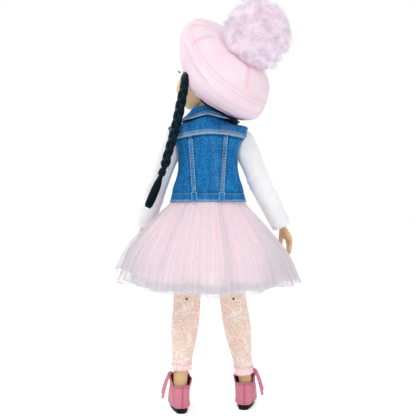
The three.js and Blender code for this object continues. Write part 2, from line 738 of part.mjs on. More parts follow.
// The knob and disc that the arm's ball turns on, seen from the ball's centre
function shoulderDisc(side) {
  const discAt = -side * (shoulderBallRadius + shoulderDiscThickness / 2 + gap);
  const reach = shoulderBallRadius + shoulderDiscThickness;
  return sphere(shoulderKnobRadius, vec(0, 0, 0))
    .add(drum(shoulderStemRadius, reach / 2, vec(-side * reach / 2, 0, 0)))
    .add(drum(shoulderDiscRadius, shoulderDiscThickness / 2 - gap, vec(discAt, 0, 0)));
}

function armPieces(side, arm) {
  const elbow = elbowOffset(side, arm);
  const wrist = wristOffset(side, arm);
  const slotShape = new THREE.Shape();
  const low = THREE.MathUtils.degToRad(shoulderSlot.low);
  const high = THREE.MathUtils.degToRad(shoulderSlot.high);
  slotShape.moveTo(0, 0);
  slotShape.lineTo(-overrun * Math.cos(low), -overrun * Math.sin(low));
  slotShape.lineTo(-overrun * Math.cos(high), overrun * Math.sin(high));
  const slotHalf = shoulderStemRadius + gap;
  const slot = new THREE.ExtrudeGeometry(slotShape, { depth: 2 * slotHalf, bevelEnabled: false })
    .translate(0, 0, -slotHalf).rotateX(Math.PI / 2).scale(side, 1, 1);
  const ball = sphere(shoulderBallRadius, vec(0, 0, 0));
  const arm1 = loft(limbRings(vec(0, 0, 0), elbow, upperArmShares, armRadius)).add(ball)
    .subtract(sphere(shoulderKnobRadius + gap, vec(0, 0, 0))).subtract(solid(slot));
  const toElbow = new THREE.Matrix4().makeTranslation(-elbow.x, -elbow.y, -elbow.z);
  const joint = hinge({
    upper: place(geometryOf(arm1), toElbow),
    lower: loft(limbRings(vec(0, 0, 0), wrist, forearmShares, armRadius)),
    pivot: vec(0, 0, 0),
    radius: elbowRadius,
    tongue: elbowTongue,
    pinRadius: elbowPinRadius,
    pinHalf: elbowRadius - 1,
    ...elbowRoof,
  });
  const peg = new THREE.CylinderGeometry(wristPegRadius, wristPegRadius, 2 * wristPegLength, limbSides)
    .rotateX(Math.PI / 2);
  const aim = new THREE.Quaternion().setFromUnitVectors(vec(0, 0, -1), wrist.clone().normalize());
  const pegMatrix = new THREE.Matrix4().compose(wrist, aim, vec(1, 1, 1));
  const boreGeometry = new THREE.CylinderGeometry(wristPegRadius + gap, wristPegRadius + gap,
    2 * (wristPegLength + gap), limbSides).rotateX(Math.PI / 2);
  return {
    upper: place(geometryOf(joint.upper), toElbow.clone().invert()),
    forearm: joint.lower.subtract(place(boreGeometry, pegMatrix)),
    pin: place(geometryOf(joint.pin), toElbow.clone().invert()),
    peg: place(peg, pegMatrix),
    sleeve: sleeve(side, arm),
  };
}

// The outer rings of a sleeve, domed over the shoulder's ball and open at the cuff
function sleeveRings(side, arm, extra) {
  const shoulder = vec(0, 0, 0);
  const elbow = elbowOffset(side, arm);
  const wrist = elbow.clone().add(wristOffset(side, arm));
  const round = (from, to, rows, girth = sleeveTopRadius) => limbRings(from, to,
    rows.map(([share, width]) => [share, width, width, width]), girth, extra);
  const [above] = round(shoulder, elbow, [[1, elbowSleeveShare]]);
  const [below] = round(elbow, wrist, [[0, elbowSleeveShare]]);
  const mitre = Math.cos(elbow.angleTo(wristOffset(side, arm)) / 2) ** -2;
  const bend = above.map((point, i) => point.clone().lerp(below[i], 1 / 2).sub(elbow).multiplyScalar(mitre)
    .add(elbow));
  return [
    ...round(shoulder, elbow, upperSleeveShares),
    bend,
    ...round(elbow, wrist, lowerSleeveShares),
    ...round(elbow, wrist, [[cuffShare, 1]], cuffRadius),
  ];
}

// A sleeve, cut where it meets the body of the top
function sleeve(side, arm) {
  const at = shoulderAt(side).negate();
  const body = loft(trunkRings({ extra: 2 * gap + shirtThickness }));
  return wall(sleeveRings(side, arm, 0), sleeveRings(side, arm, -sleeveThickness))
    .subtract(place(geometryOf(body), new THREE.Matrix4().makeTranslation(at.x, at.y, at.z)));
}

// A hand pointing down from the wrist, thumb towards the body, palm to the back
function hand(side) {
  const level = (share) => -share * handLength;
  let made = loft(palmShares.map(([share, width, depth]) => ring({
    centre: vec(0, 0, level(share)),
    width: width * handHalfWidth,
    front: depth * handHalfThickness,
    power: trunkPower,
    sides: 2 * fingerSides,
  })));
  const finger = (from, to, radius) => loft(limbRings(from, to,
    fingerTaperShares.map(([share, width]) => [share, width, width, width]), radius, 0, fingerSides));
  for (const [along, girth, length] of fingerShares) {
    const reach = along * (handHalfWidth - fingerRadius / 2);
    const [rootX, tipX] = fingerSpreadShares.map((share) => share * reach);
    made = made.add(finger(vec(rootX, 0, level(fingerRootShare)),
      vec(tipX, handHalfThickness * fingerCurlShare, level(length)), fingerRadius * girth));
  }
  const { rootOut, root, tipOut, tip, curl, girth } = thumbShares;
  made = made.add(finger(vec(-side * handHalfWidth * rootOut, 0, level(root)),
    vec(-side * handHalfWidth * tipOut, handHalfThickness * curl, level(tip)), fingerRadius * girth));
  const bore = new THREE.CylinderGeometry(wristPegRadius + gap, wristPegRadius + gap, overrun, limbSides)
    .rotateX(Math.PI / 2).translate(0, 0, overrun / 2 - wristPegLength - gap);
  return made.subtract(solid(bore));
}

// Head

const headPlace = vec(0, 0, chinLevel);
const headMatrix = new THREE.Matrix4().compose(
  headPlace, new THREE.Quaternion().setFromEuler(new THREE.Euler(0, headTilt, headYaw)), vec(1, 1, 1));

function headRings(extra, rows = headShares) {
  return rows.map(([share, width, front, back]) => ring({
    centre: vec(0, -headForward, share * headHeight + (share === 1 ? extra : 0)),
    width: width * headHalfWidth + extra,
    front: front * headHalfDepth + extra,
    back: back * headHalfDepth + extra,
    power: headPower,
    sides: headSides,
  }));
}

const eyeAt = (side) => {
  const depth = headHalfDepth * Math.sqrt(1 - (eyeHalfSpan / headHalfWidth) ** 2);
  return vec(side * eyeHalfSpan, -headForward - depth * eyeDepthShare + eyeSink, eyeHeight);
};

function headShell() {
  const inner = headShares.filter((row, i) => i % 2 === 1).slice(1, -1);
  const toHead = headMatrix.clone().invert();
  const hole = new THREE.CylinderGeometry(neckRadius + gap, neckRadius + gap, 2 * neckReach, drumSides)
    .rotateX(Math.PI / 2).translate(0, 0, neckLevel + neckReach / 2);
  let made = loft(headRings(0)).subtract(loft(headRings(-headWall, inner)));
  made = made.subtract(place(hole, toHead));
  for (const side of [-1, 1]) made = made.subtract(sphere(eyeRadius + gap, eyeAt(side)));
  return made;
}

// A row of lashes as one thin strip that arches over the eye
function lashes(side) {
  const eye = eyeAt(side);
  const sections = [];
  for (let i = 0; i <= lashSteps; i++) {
    const turn = Math.PI * (lashShares.start + lashShares.span * (i / lashSteps));
    const x = eye.x + eyeRadius * Math.cos(turn);
    const z = eye.z + eyeRadius * lashShares.height * Math.sin(turn);
    const reach = lashReach * (lashShares.ends + (1 - lashShares.ends) * Math.sin(turn));
    const face = headHalfDepth * eyeDepthShare * Math.sqrt(1 - (x / headHalfWidth) ** 2);
    const y = -headForward - face - lashGap;
    const up = z + reach / 2;
    sections.push([vec(x, y, z), vec(x, y, z + lashThickness), vec(x, y - reach, up + lashThickness),
      vec(x, y - reach, up)]);
  }
  return loft(sections);
}

function hairCap() {
  const rows = headShares.slice(2);
  const outer = loft(headRings(gap + hairThickness, rows));
  const face = prism([
    [-overrun, hairlineTop], [-headHalfDepth / 2, hairlineTemple], [0, hairlineEar],
    [headHalfDepth / 2, hairlineNape], [overrun, hairlineLow], [overrun, -overrun], [-overrun, -overrun],
  ], overrun);
  return outer.subtract(loft(headRings(gap))).subtract(face);
}

const hairOutside = () => place(geometryOf(loft(headRings(2 * gap + hairThickness))), headMatrix);

// A braid's rings along its route, from rows of shares
function braidRings(braid, rows, extra = 0) {
  const at = rows.map(([down, out, back]) => vec(
    braid.out + out * braid.reachOut, braid.back + back * braid.reachBack, braid.level - down * braid.drop));
  return at.map((point, i) => {
    const before = at[Math.max(i - 1, 0)];
    const after = at[Math.min(i + 1, at.length - 1)];
    const direction = after.clone().sub(before).normalize();
    const across = vec(1, 0, 0).addScaledVector(direction, -direction.x).normalize();
    const radius = rows[i][3] * braidRadius + extra;
    const behind = across.clone().cross(direction);
    return ring({ centre: point, width: radius, front: radius, across, behind, sides: braidSides });
  });
}

function braidPieces(braid) {
  const rows = [...braidShares, ...tasselShares];
  const tieRow = tasselShares[0];
  const made = loft(braidRings(braid, rows));
  const tieAt = vec(braid.out + tieRow[1] * braid.reachOut, braid.back + tieRow[2] * braid.reachBack,
    braid.level - tieRow[0] * braid.drop);
  const band = (radius) => upright(radius, tieAt.z - braidTieLength / 2, tieAt.z + braidTieLength / 2,
    vec(tieAt.x, tieAt.y, 0));
  return { braid: made, tie: band(braidTieRadius).subtract(loft(braidRings(braid, rows, gap))) };
}

// Beret

const beretAxis = vec(beretLean.out, beretLean.back, beretLean.up).normalize();
const beretMatrix = new THREE.Matrix4().compose(
  vec(beretCentre.out, beretCentre.back, beretCentre.level),
  new THREE.Quaternion().setFromUnitVectors(vec(0, 0, 1), beretAxis), vec(1, 1, 1));

const lathe = (profile, sides = beretSides) => new THREE.LatheGeometry(
  profile.map(([r, h]) => new THREE.Vector2(r, h)), sides).rotateX(Math.PI / 2);

const waves = (shares, angle) => shares.reduce((sum, [cosine, sine], i) =>
  sum + cosine * Math.cos((i + 1) * angle) + sine * Math.sin((i + 1) * angle), 0);

// The beret's round form, slumped as soft felt is
function slumped(geometry) {
  const at = geometry.attributes.position;
  for (let i = 0; i < at.count; i++) {
    const [x, y, z] = [at.getX(i), at.getY(i), at.getZ(i)];
    const angle = Math.atan2(y, x);
    const share = Math.hypot(x, y) / beretRadius;
    const out = 1 + waves(rimOutShares, angle) * share ** 3;
    const puff = puffShares.all + puffShares.cosine * Math.cos(angle) + puffShares.sine * Math.sin(angle);
    const way = Math.min(share / puffShares.ends, 1) ** puffShares.power;
    const swell = Math.sin(Math.PI * way) * (z < 0 ? puffShares.under : 1);
    const lift = beretRadius * (waves(rimLiftShares, angle) * share ** 3 + puff * swell);
    at.setXYZ(i, x * out, y * out, z + lift);
  }
  return geometry;
}

function beretCrown(hair) {
  const outer = crownShares.map(([r, h]) => [r * beretRadius, h * beretRise]);
  const inside = [beretRadius - beretThickness, beretRise - beretThickness];
  const inner = crownShares.map(([r, h]) => [r * inside[0], h * inside[1]]);
  return place(slumped(lathe([...outer, ...inner.toReversed()])), beretMatrix).subtract(hair);
}

function beretUnderside(hair) {
  const outer = undersideShares.map(([r, h]) => [r * beretRadius, -h * beretDrop]);
  const inner = undersideShares.map(([r, h]) => [r * beretRadius - beretThickness,
    -h * beretDrop * undersideInnerShare - 2 * gap]);
  const band = [[beretBandRadius + beretThickness, -beretDrop], [beretBandRadius, -beretDrop],
    [beretBandRadius, -beretDrop + beretThickness]];
  const ends = [[inner[0][0], outer[0][1]]];
  const braids = [leftBraid, rightBraid].map((braid) => loft(braidRings(braid, braidShares, gap)));
  const profile = [...outer, ...band, ...inner.toReversed(), ...ends, outer[0]];
  return place(slumped(lathe(profile)), beretMatrix).subtract(hair).subtract(braids[0]).subtract(braids[1]);
}

function pompom() {
  const centre = vec(0, 0, beretRise + pomRadius - pomSink);
  const crown = crownShares.map(([r, h]) => [r * (beretRadius + gap), h * (beretRise + gap)]);
  const dome = solid(slumped(lathe([...crown, [0, 0]])));
  return place(geometryOf(sphere(pomRadius, centre, headSides).subtract(dome)), beretMatrix);
}

// The doll

const doll = new THREE.Group();

function groupAt(parent, position) {
  const made = new THREE.Group();
  made.position.copy(position);
  parent.add(made);
  return made;
}

const { skin, eye, lash, hair, band, felt, fur, denim, brass, cotton, tulle, satin, elastic, lace, suede,
  rubber, plastic, steel } = colours;

const shells = trunk();
const jacket = vest();
doll.add(
  mesh('torso_front', shells.front, skin, 0.5),
  mesh('torso_back', shells.back, skin, 0.5),
  mesh('neck', neck(), skin, 0.5),
  mesh('hip_axle', hipAxle(), steel, 0.35, 1),
  mesh('shirt_body', shirt(), cotton),
  mesh('vest_back', jacket.back, denim),
  mesh('vest_left_front', jacket.left, denim),
  mesh('vest_right_front', jacket.right, denim),
  mesh('vest_collar', collar(jacket), denim),
);
for (let i = 0; i < buttonCount; i++) {
  const level = vestHemLevel + (i + 0.6) * ((shoulderLevel - vestHemLevel) / buttonCount);
  doll.add(mesh(`vest_button_${i + 1}`, button(level), brass, 0.35, 1));
}
doll.add(
  mesh('skirt_waistband', waistband(), elastic),
  mesh('skirt_lining', lining(), satin),
  mesh('skirt_tulle_inner', tulleInner(), tulle),
  mesh('skirt_tulle_outer', tulleOuter(), tulle),
  mesh('leggings_hips', leggingHips(), lace),
);

for (const [word, side, arm, leg] of [['left', 1, leftArm, leftLeg], ['right', -1, rightArm, rightLeg]]) {
  const shoulder = groupAt(doll, shoulderAt(side));
  const armParts = armPieces(side, arm);
  shoulder.add(
    mesh(`${word}_shoulder_ball`, shoulderDisc(side), plastic, 0.5),
    mesh(`${word}_upper_arm`, armParts.upper, skin, 0.5),
    mesh(`${word}_elbow_pin`, armParts.pin, plastic, 0.5),
    mesh(`${word}_sleeve`, armParts.sleeve, cotton),
  );
  const elbow = groupAt(shoulder, elbowOffset(side, arm));
  elbow.add(
    mesh(`${word}_forearm`, armParts.forearm, skin, 0.5),
    mesh(`${word}_wrist_peg`, armParts.peg, plastic, 0.5),
  );
  const palm = groupAt(elbow, wristOffset(side, arm));
  const turn = new THREE.Quaternion().setFromEuler(
    new THREE.Euler(0, 0, -side * THREE.MathUtils.degToRad(handTurn)));
  palm.quaternion.setFromUnitVectors(vec(0, 0, -1), wristOffset(side, arm).normalize()).multiply(turn);
  palm.add(mesh(`${word}_hand`, hand(side), skin, 0.5));

  const hip = groupAt(doll, vec(side * hipHalfSpan, 0, hipLevel));
  const legParts = legPieces(side, leg);
  hip.add(
    mesh(`${word}_thigh`, legParts.thigh, skin, 0.5),
    mesh(`${word}_knee_pin`, legParts.pin, plastic, 0.5),
    mesh(`${word}_legging`, legParts.legging, lace),
  );
  const knee = groupAt(hip, kneeOffset(side, leg));
  knee.add(
    mesh(`${word}_lower_leg`, legParts.shin, skin, 0.5),
    mesh(`${word}_boot_upper`, legParts.upper, suede, 0.95),
    mesh(`${word}_boot_sole`, legParts.sole, rubber, 0.6),
    mesh(`${word}_boot_tie`, legParts.tie, suede, 0.95),
  );
}

const headGroup = groupAt(doll, headPlace);
headGroup.rotation.set(0, headTilt, headYaw);
headGroup.add(mesh('head', headShell(), skin, 0.5), mesh('hair_cap', hairCap(), hair, 0.45));
for (const [word, side] of [['left', 1], ['right', -1]]) {
  headGroup.add(
    mesh(`${word}_eye`, sphere(eyeRadius, eyeAt(side)), eye, 0.1),
    mesh(`${word}_eyelashes`, lashes(side), lash),
  );
}
for (const [word, braid] of [['left', leftBraid], ['right', rightBraid]]) {
  const parts = braidPieces(braid);
  doll.add(mesh(`${word}_braid`, parts.braid, hair, 0.45), mesh(`${word}_braid_tie`, parts.tie, band));
}
const hairSpace = hairOutside();
doll.add(
  mesh('beret_crown', beretCrown(hairSpace), felt, 0.95),
  mesh('beret_underside', beretUnderside(hairSpace), felt, 0.95),
  mesh('pompom', pompom(), fur, 1),
);

export default doll;
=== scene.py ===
import math

import bmesh
import bpy
import numpy as np
from mathutils import Euler, Matrix, Quaternion, Vector


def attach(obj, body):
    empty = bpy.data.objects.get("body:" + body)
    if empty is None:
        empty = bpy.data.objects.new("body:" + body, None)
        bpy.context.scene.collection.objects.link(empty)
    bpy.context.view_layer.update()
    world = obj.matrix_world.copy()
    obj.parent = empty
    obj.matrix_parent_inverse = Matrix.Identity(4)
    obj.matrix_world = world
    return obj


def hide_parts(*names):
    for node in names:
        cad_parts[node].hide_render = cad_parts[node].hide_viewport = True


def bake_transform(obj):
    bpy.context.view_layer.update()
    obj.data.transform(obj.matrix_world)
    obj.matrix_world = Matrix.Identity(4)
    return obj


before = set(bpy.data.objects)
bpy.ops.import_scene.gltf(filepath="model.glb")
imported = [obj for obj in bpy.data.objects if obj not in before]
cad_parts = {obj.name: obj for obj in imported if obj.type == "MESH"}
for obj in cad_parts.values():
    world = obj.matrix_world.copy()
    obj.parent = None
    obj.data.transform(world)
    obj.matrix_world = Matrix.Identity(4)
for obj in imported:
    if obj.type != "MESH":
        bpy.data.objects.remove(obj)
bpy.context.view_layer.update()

# The doll is built in millimetres, x to its left, y to its back and z up.
# It is scaled to metres as each mesh is made.
MM = 0.001
scene = bpy.context.scene
scene.view_settings.view_transform = "Standard"
scene.cycles.transparent_max_bounces = 48


def vec(*values):
    """A numpy vector."""
    return np.array(values, float)


def unit(v):
    """Vectors at length one."""
    v = np.asarray(v, float)
    return v / (np.linalg.norm(v, axis=-1, keepdims=True) + 1e-12)


def smooth(x, xs, ys):
    """A soft curve through the points (xs, ys)."""
    xs, ys = np.asarray(xs, float), np.asarray(ys, float)
    slope = np.gradient(ys, xs)
    x = np.asarray(x, float)
    i = np.clip(np.searchsorted(xs, x) - 1, 0, len(xs) - 2)
    h = xs[i + 1] - xs[i]
    t = np.clip((x - xs[i]) / h, 0, 1)
    return (
        (1 + 2 * t) * (1 - t) ** 2 * ys[i]
        + t * (1 - t) ** 2 * h * slope[i]
        + t * t * (3 - 2 * t) * ys[i + 1]
        + t * t * (t - 1) * h * slope[i + 1]
    )


def step(x, low, high):
    """A soft step from 0 below low to 1 above high."""
    t = np.clip((np.asarray(x, float) - low) / (high - low), 0, 1)
    return t * t * (3 - 2 * t)


def bell(x, width):
    """One at zero and fading to both sides over a width."""
    return np.exp(-((np.asarray(x, float) / width) ** 2))


def circle(sides):
    """Even angles once round."""
    return 2 * math.pi * np.arange(sides) / sides


def squared(wave, power):
    """A cosine or sine drawn towards a box: power 2 leaves it round."""
    return np.sign(wave) * np.abs(wave) ** (2 / power)


def turned_by(angle, start):
    """Angles measured from a start, from half a turn back to half a turn on."""
    return np.angle(np.exp(1j * (angle - start)))


def travel_along(points):
    """How far along a line each of its points lies."""
    return np.concatenate([[0], np.cumsum(np.linalg.norm(np.diff(points, axis=0), axis=1))])


def level_ring(x, y, level):
    """A ring of points at one level."""
    return np.stack([x, y, np.full_like(x, level)], 1)


def closed(points):
    """A grid with a ring drawn together to a point at each end."""
    ends = [np.broadcast_to(p.mean(0), p.shape)[None] for p in (points[0], points[-1])]
    return np.concatenate([ends[0], points, ends[1]])


def looped(points):
    """A ring of points with its first point again at the end."""
    return np.concatenate([points, points[:1]])


def soft_noise(u, v, seed, octaves=3):
    """Smooth waves over a plane, from -1 to 1, the same each run."""
    draw = np.random.default_rng(seed)
    total, size = 0, 0
    for octave in range(octaves):
        for _ in range(5):
            angle = draw.uniform(0, 2 * math.pi)
            phase = draw.uniform(0, 2 * math.pi)
            scale = 2**octave * draw.uniform(0.7, 1.3)
            wave = np.sin(scale * (u * math.cos(angle) + v * math.sin(angle)) + phase)
            total = total + wave / 2**octave
            size += 1 / 2**octave
    return total / size * 1.8


# Meshes

WELD = 1e-6


class Build:
    """Points, faces, corner maps and tones gathered from several surfaces."""

    def __init__(self):
        self.points, self.faces, self.maps, self.tones = [], [], [], []
        self.count = 0

    def add(self, points, faces, maps=None, tone=0.0):
        points = np.asarray(points, float).reshape(-1, 3)
        faces = np.asarray(faces)
        self.points.append(points)
        self.faces.append(faces + self.count)
        if maps is None:
            maps = np.zeros(faces.shape + (2,))
        self.maps.append(maps)
        self.tones.append(np.broadcast_to(np.asarray(tone, float).ravel(), (len(points),)))
        self.count += len(points)
        return self

    def grid(self, points, wrap=True, size=(1, 1), tone=0.0):
        """Faces over a grid of points; size is the width and length of its corner map in metres."""
        rows, columns = points.shape[:2]
        span = columns if wrap else columns - 1
        i, j = [a.ravel() for a in np.meshgrid(np.arange(rows - 1), np.arange(span), indexing="ij")]
        corners = [(i, j), (i, j + 1), (i + 1, j + 1), (i + 1, j)]
        faces = np.stack([a * columns + b % columns for a, b in corners], 1)
        maps = np.stack(
            [
                np.stack([b / span * size[0], a / (rows - 1) * size[1]], 1)
                for a, b in corners
            ],
            1,
        )
        return self.add(points, faces, maps, np.broadcast_to(tone, points.shape[:2]))

    def shell(self, outer, thickness, wrap=True, size=(1, 1), tone=0.0, sign=1):
        """A closed wall whose outer face is the given grid."""
        inner = outer - sign * thickness_of(thickness) * normals(outer, wrap)
        tone = np.broadcast_to(tone, outer.shape[:2])
        self.grid(outer, wrap, size, tone)
        self.grid(inner[::-1], wrap, size, tone[::-1])
        for row in (0, -1):
            self.grid(np.stack([outer[row], inner[row]]), wrap, (size[0], 0.01), tone[[row, row]])
        if not wrap:
            for column in (0, -1):
                edge = np.stack([outer[:, column], inner[:, column]])
                self.grid(edge, False, (size[1], 0.01), tone[:, [column, column]].T)
        return self

    def tube(self, path, radius, sides=8, closed_ends=True, across=None, flat=1.0, tone=0.0, size=(1, 1)):
        """A tube along a path; flat presses it across the second direction of its rings."""
        points = sweep(path, radius, sides, across, flat)
        if closed_ends:
            points = closed(points)
        tone = np.asarray(tone, float)
        if tone.ndim and closed_ends:
            tone = np.concatenate([tone[:1], tone, tone[-1:]])
        if tone.ndim:
            tone = np.repeat(tone[:, None], sides, 1)
        return self.grid(points, True, size, tone)

    def object(self, name, material, weld=True, turn_out=True):
        """The mesh of all that was gathered, in metres, with its corner map and tone."""
        mesh = bpy.data.meshes.new(name)
        points = np.concatenate(self.points) * MM
        lengths = np.concatenate([np.full(len(f), f.shape[1]) for f in self.faces])
        loops = np.concatenate([f.ravel() for f in self.faces])
        mesh.vertices.add(len(points))
        mesh.vertices.foreach_set("co", points.ravel())
        mesh.loops.add(len(loops))
        mesh.loops.foreach_set("vertex_index", loops.astype(np.int32))
        mesh.polygons.add(len(lengths))
        starts = np.concatenate([[0], np.cumsum(lengths)[:-1]])
        mesh.polygons.foreach_set("loop_start", starts.astype(np.int32))
        mesh.update(calc_edges=True)
        maps = mesh.uv_layers.new(name="map")
        maps.data.foreach_set("uv", np.concatenate([m.reshape(-1, 2) for m in self.maps]).ravel())
        tone = mesh.attributes.new("tone", "FLOAT", "POINT")
        tone.data.foreach_set("value", np.concatenate(self.tones).astype(np.float32))
        if weld:
            edit = bmesh.new()
            edit.from_mesh(mesh)
            bmesh.ops.remove_doubles(edit, verts=edit.verts, dist=WELD)
            bmesh.ops.dissolve_degenerate(edit, edges=edit.edges, dist=WELD / 10)
            if turn_out:
                bmesh.ops.recalc_face_normals(edit, faces=edit.faces)
            edit.to_mesh(mesh)
            edit.free()
        mesh.validate()
        mesh.shade_smooth()
        made = bpy.data.objects.new(name, mesh)
        scene.collection.objects.link(made)
        mesh.materials.append(material)
        return made


def thickness_of(thickness):
    thickness = np.asarray(thickness, float)
    return thickness[..., None] if thickness.ndim else thickness


def normals(points, wrap=True):
    """Unit normals of a grid whose rows go up and whose columns go round from +x by +y."""
    if wrap:
        round_it = np.roll(points, -1, 1) - np.roll(points, 1, 1)
    else:
        round_it = np.gradient(points, axis=1)
    return unit(np.cross(round_it, np.gradient(points, axis=0)))


def frames(path, across=None):
    """Tangents and two square directions along a path, carried along without twist."""
    path = np.asarray(path, float)
    tangent = unit(np.gradient(path, axis=0))
    first = vec(1, 0, 0) if across is None else np.asarray(across, float)
    if abs(first @ tangent[0]) > 0.95 * np.linalg.norm(first):
        first = vec(0, 1, 0)
    side = [unit(first - tangent[0] * (first @ tangent[0]))]
    for t in tangent[1:]:
        side.append(unit(side[-1] - t * (side[-1] @ t)))
    side = np.array(side)
    return tangent, side, np.cross(side, tangent)


def sweep(path, radius, sides=8, across=None, flat=1.0):
    """Rings round a path: radius may be one number, one a point, or one a point and side."""
    path = np.asarray(path, float)
    _, side, behind = frames(path, across)
    angle = circle(sides)
    radius = np.asarray(radius, float)
    if radius.ndim < 2:
        radius = np.broadcast_to(radius.reshape(-1, 1), (len(path), sides))
    return (
        path[:, None]
        + (radius * np.cos(angle))[..., None] * side[:, None]
        + (radius * flat * np.sin(angle))[..., None] * behind[:, None]
    )


def curve_through(points, count, closed=False):
    """A soft curve through points, at even steps."""
    points = np.asarray(points, float)
    if closed:
        points = np.concatenate([points[-2:], points, points[:3]])
    length = travel_along(points)
    if closed:
        at = np.linspace(length[2], length[-3], count + 1)[:-1]
    else:
        at = np.linspace(0, length[-1], count)
    return np.stack([smooth(at, length, points[:, k]) for k in range(points.shape[1])], 1)


def even(points, count):
    """The same line at even steps."""
    length = travel_along(points)
    at = np.linspace(0, length[-1], count)
    return np.stack([np.interp(at, length, points[:, k]) for k in range(3)], 1)


def bead(sides=6, rows=5):
    """A small capsule along +x, one long and one across, as a grid."""
    turn = np.linspace(0, math.pi, rows)
    angle = circle(sides)
    x = -np.cos(turn)[:, None] * np.ones(sides)
    r = np.sin(turn)[:, None] ** 0.6
    return np.stack([x / 2, r * np.cos(angle) / 2, r * np.sin(angle) / 2], 2)


def stitches(build, line, out, length=1.9, pitch=2.7, width=0.55, lift=0.1):
    """A row of thread stitches along a line; out says which way the cloth faces at each point."""
    line = np.asarray(line, float)
    travel = travel_along(line)
    count = max(1, int(travel[-1] / pitch))
    at = (np.arange(count) + 0.5) * travel[-1] / count

    def on(values, shift=0.0):
        return np.stack([np.interp(at + shift, travel, values[:, k]) for k in range(3)], 1)

    place = on(line)
    ahead = unit(on(line, 0.5) - on(line, -0.5))
    up = unit(on(out))
    across = unit(np.cross(up, ahead))
    shape = bead()
    for p, a, u, c in zip(place + lift * up, ahead, up, across):
        long, wide, high = shape[..., :1] * length, shape[..., 1:2] * width, shape[..., 2:] * width * 0.8
        build.grid(p + long * a + wide * c + high * u)


# Materials


class Paint:
    """A node material on one Principled shader."""

    def __init__(self, name, **sockets):
        self.made = bpy.data.materials.new(name)
        self.made.use_nodes = True
        self.tree = self.made.node_tree
        self.shader = self.tree.nodes["Principled BSDF"]
        for key, value in sockets.items():
            self.shader.inputs[key.replace("_", " ")].default_value = value

    def node(self, kind, links=None, **settings):
        """A shader node with its settings, and its inputs linked or set."""
        made = self.tree.nodes.new("ShaderNode" + kind)
        for key, value in settings.items():
            if hasattr(made, key):
                setattr(made, key, value)
            else:
                made.inputs[key.replace("_", " ")].default_value = value
        for key, source in (links or {}).items():
            self.tree.links.new(source, made.inputs[key])
        return made

    def math(self, operation, a, b=0.5, c=None):
        """A math node."""
        made = self.tree.nodes.new("ShaderNodeMath")
        made.operation = operation
        for i, value in enumerate((a, b, c)):
            if value is None:
                continue
            if isinstance(value, (int, float)):
                made.inputs[i].default_value = value
            else:
                self.tree.links.new(value, made.inputs[i])
        return made.outputs[0]

    def times(self, a, b):
        return self.math("MULTIPLY", a, b)

    def times_add(self, a, b, c):
        return self.math("MULTIPLY_ADD", a, b, c)

    def most(self, a, b):
        return self.math("MAXIMUM", a, b)

    def coords(self, kind="Object"):
        """Texture coordinates."""
        return self.node("TexCoord").outputs[kind]

    def scaled(self, scale, kind="Object", turn=(0, 0, 0)):
        made = self.node("Mapping", {"Vector": self.coords(kind)})
        made.inputs["Scale"].default_value = scale if hasattr(scale, "__len__") else (scale,) * 3
        made.inputs["Rotation"].default_value = turn
        return made.outputs[0]

    def noise(self, vector, scale, detail=4, roughness=0.5):
        """Noise over a vector."""
        made = self.node("TexNoise", {"Vector": vector}, Scale=scale, Detail=detail, Roughness=roughness)
        return made.outputs[0]

    def cells(self, vector, feature, **settings):
        """How far each place lies from the nearest cell's point or edge."""
        made = self.node("TexVoronoi", {"Vector": vector}, feature=feature, Scale=1.0, **settings)
        return made.outputs["Distance"]

    def bands(self, vector, direction, scale, distortion, detail):
        made = self.node("TexWave", {"Vector": vector}, wave_type="BANDS", bands_direction=direction,
                         Scale=scale, Distortion=distortion, Detail=detail)
        return made.outputs[1]

    def tone(self, name="tone"):
        return self.node("Attribute", attribute_name=name).outputs["Fac"]

    def ramp(self, value, stops):
        """A colour ramp driven by a value."""
        made = self.node("ValToRGB", {"Fac": value})
        ramp = made.color_ramp
        while len(ramp.elements) < len(stops):
            ramp.elements.new(0.5)
        for element, (at, colour) in zip(ramp.elements, stops):
            element.position = at
            element.color = rgb(colour)
        return made.outputs[0]

    def mask(self, value, low, high):
        """Black below low, white above high."""
        return self.ramp(value, [(low, "#000000"), (high, "#FFFFFF")])

    def mix(self, value, a, b, blend="MIX"):
        """A mix of two colours."""
        made = self.tree.nodes.new("ShaderNodeMix")
        made.data_type = "RGBA"
        made.blend_type = blend
        for key, source in ((0, value), (6, a), (7, b)):
            if isinstance(source, (int, float)):
                made.inputs[key].default_value = source
            elif isinstance(source, str):
                made.inputs[key].default_value = rgb(source)
            else:
                self.tree.links.new(source, made.inputs[key])
        return made.outputs[2]

    def into(self, socket, source):
        """Links an output to a socket of the shader itself."""
        self.tree.links.new(source, self.shader.inputs[socket])
        return self

    def bump(self, height, strength=0.3, distance=0.0003):
        """A bump from a height."""
        made = self.node("Bump", {"Height": height}, Strength=strength, Distance=distance)
        return self.into("Normal", made.outputs[0])


def rgb(code, alpha=1.0):
    """A web colour as linear light."""
    parts = [int(code[i : i + 2], 16) / 255 for i in (1, 3, 5)]
    return tuple(c / 12.92 if c <= 0.04045 else ((c + 0.055) / 1.055) ** 2.4 for c in parts) + (alpha,)


def paint_skin():
    """Satin plastic skin, with the face's colours laid on by its masks."""
    p = Paint("skin", Roughness=0.48, Specular_IOR_Level=0.35, Subsurface_Weight=0.12, Subsurface_Scale=0.004)
    p.shader.inputs["Subsurface Radius"].default_value = (1.0, 0.45, 0.25)
    at = p.coords()
    cloud = p.noise(at, 45, 3)
    base = p.ramp(cloud, [(0.3, "#DDB88A"), (0.7, "#E9C79C")])
    blush = p.mix(p.times(p.tone("blush"), 0.5), base, "#E08A78")
    lined = p.mix(p.tone("lips"), blush, "#C8606A")
    browed = p.mix(p.tone("brow"), lined, "#2A1B16")
    p.into("Base Color", browed)
    p.bump(p.noise(at, 900, 4), 0.06, 0.0002)
    return p.made


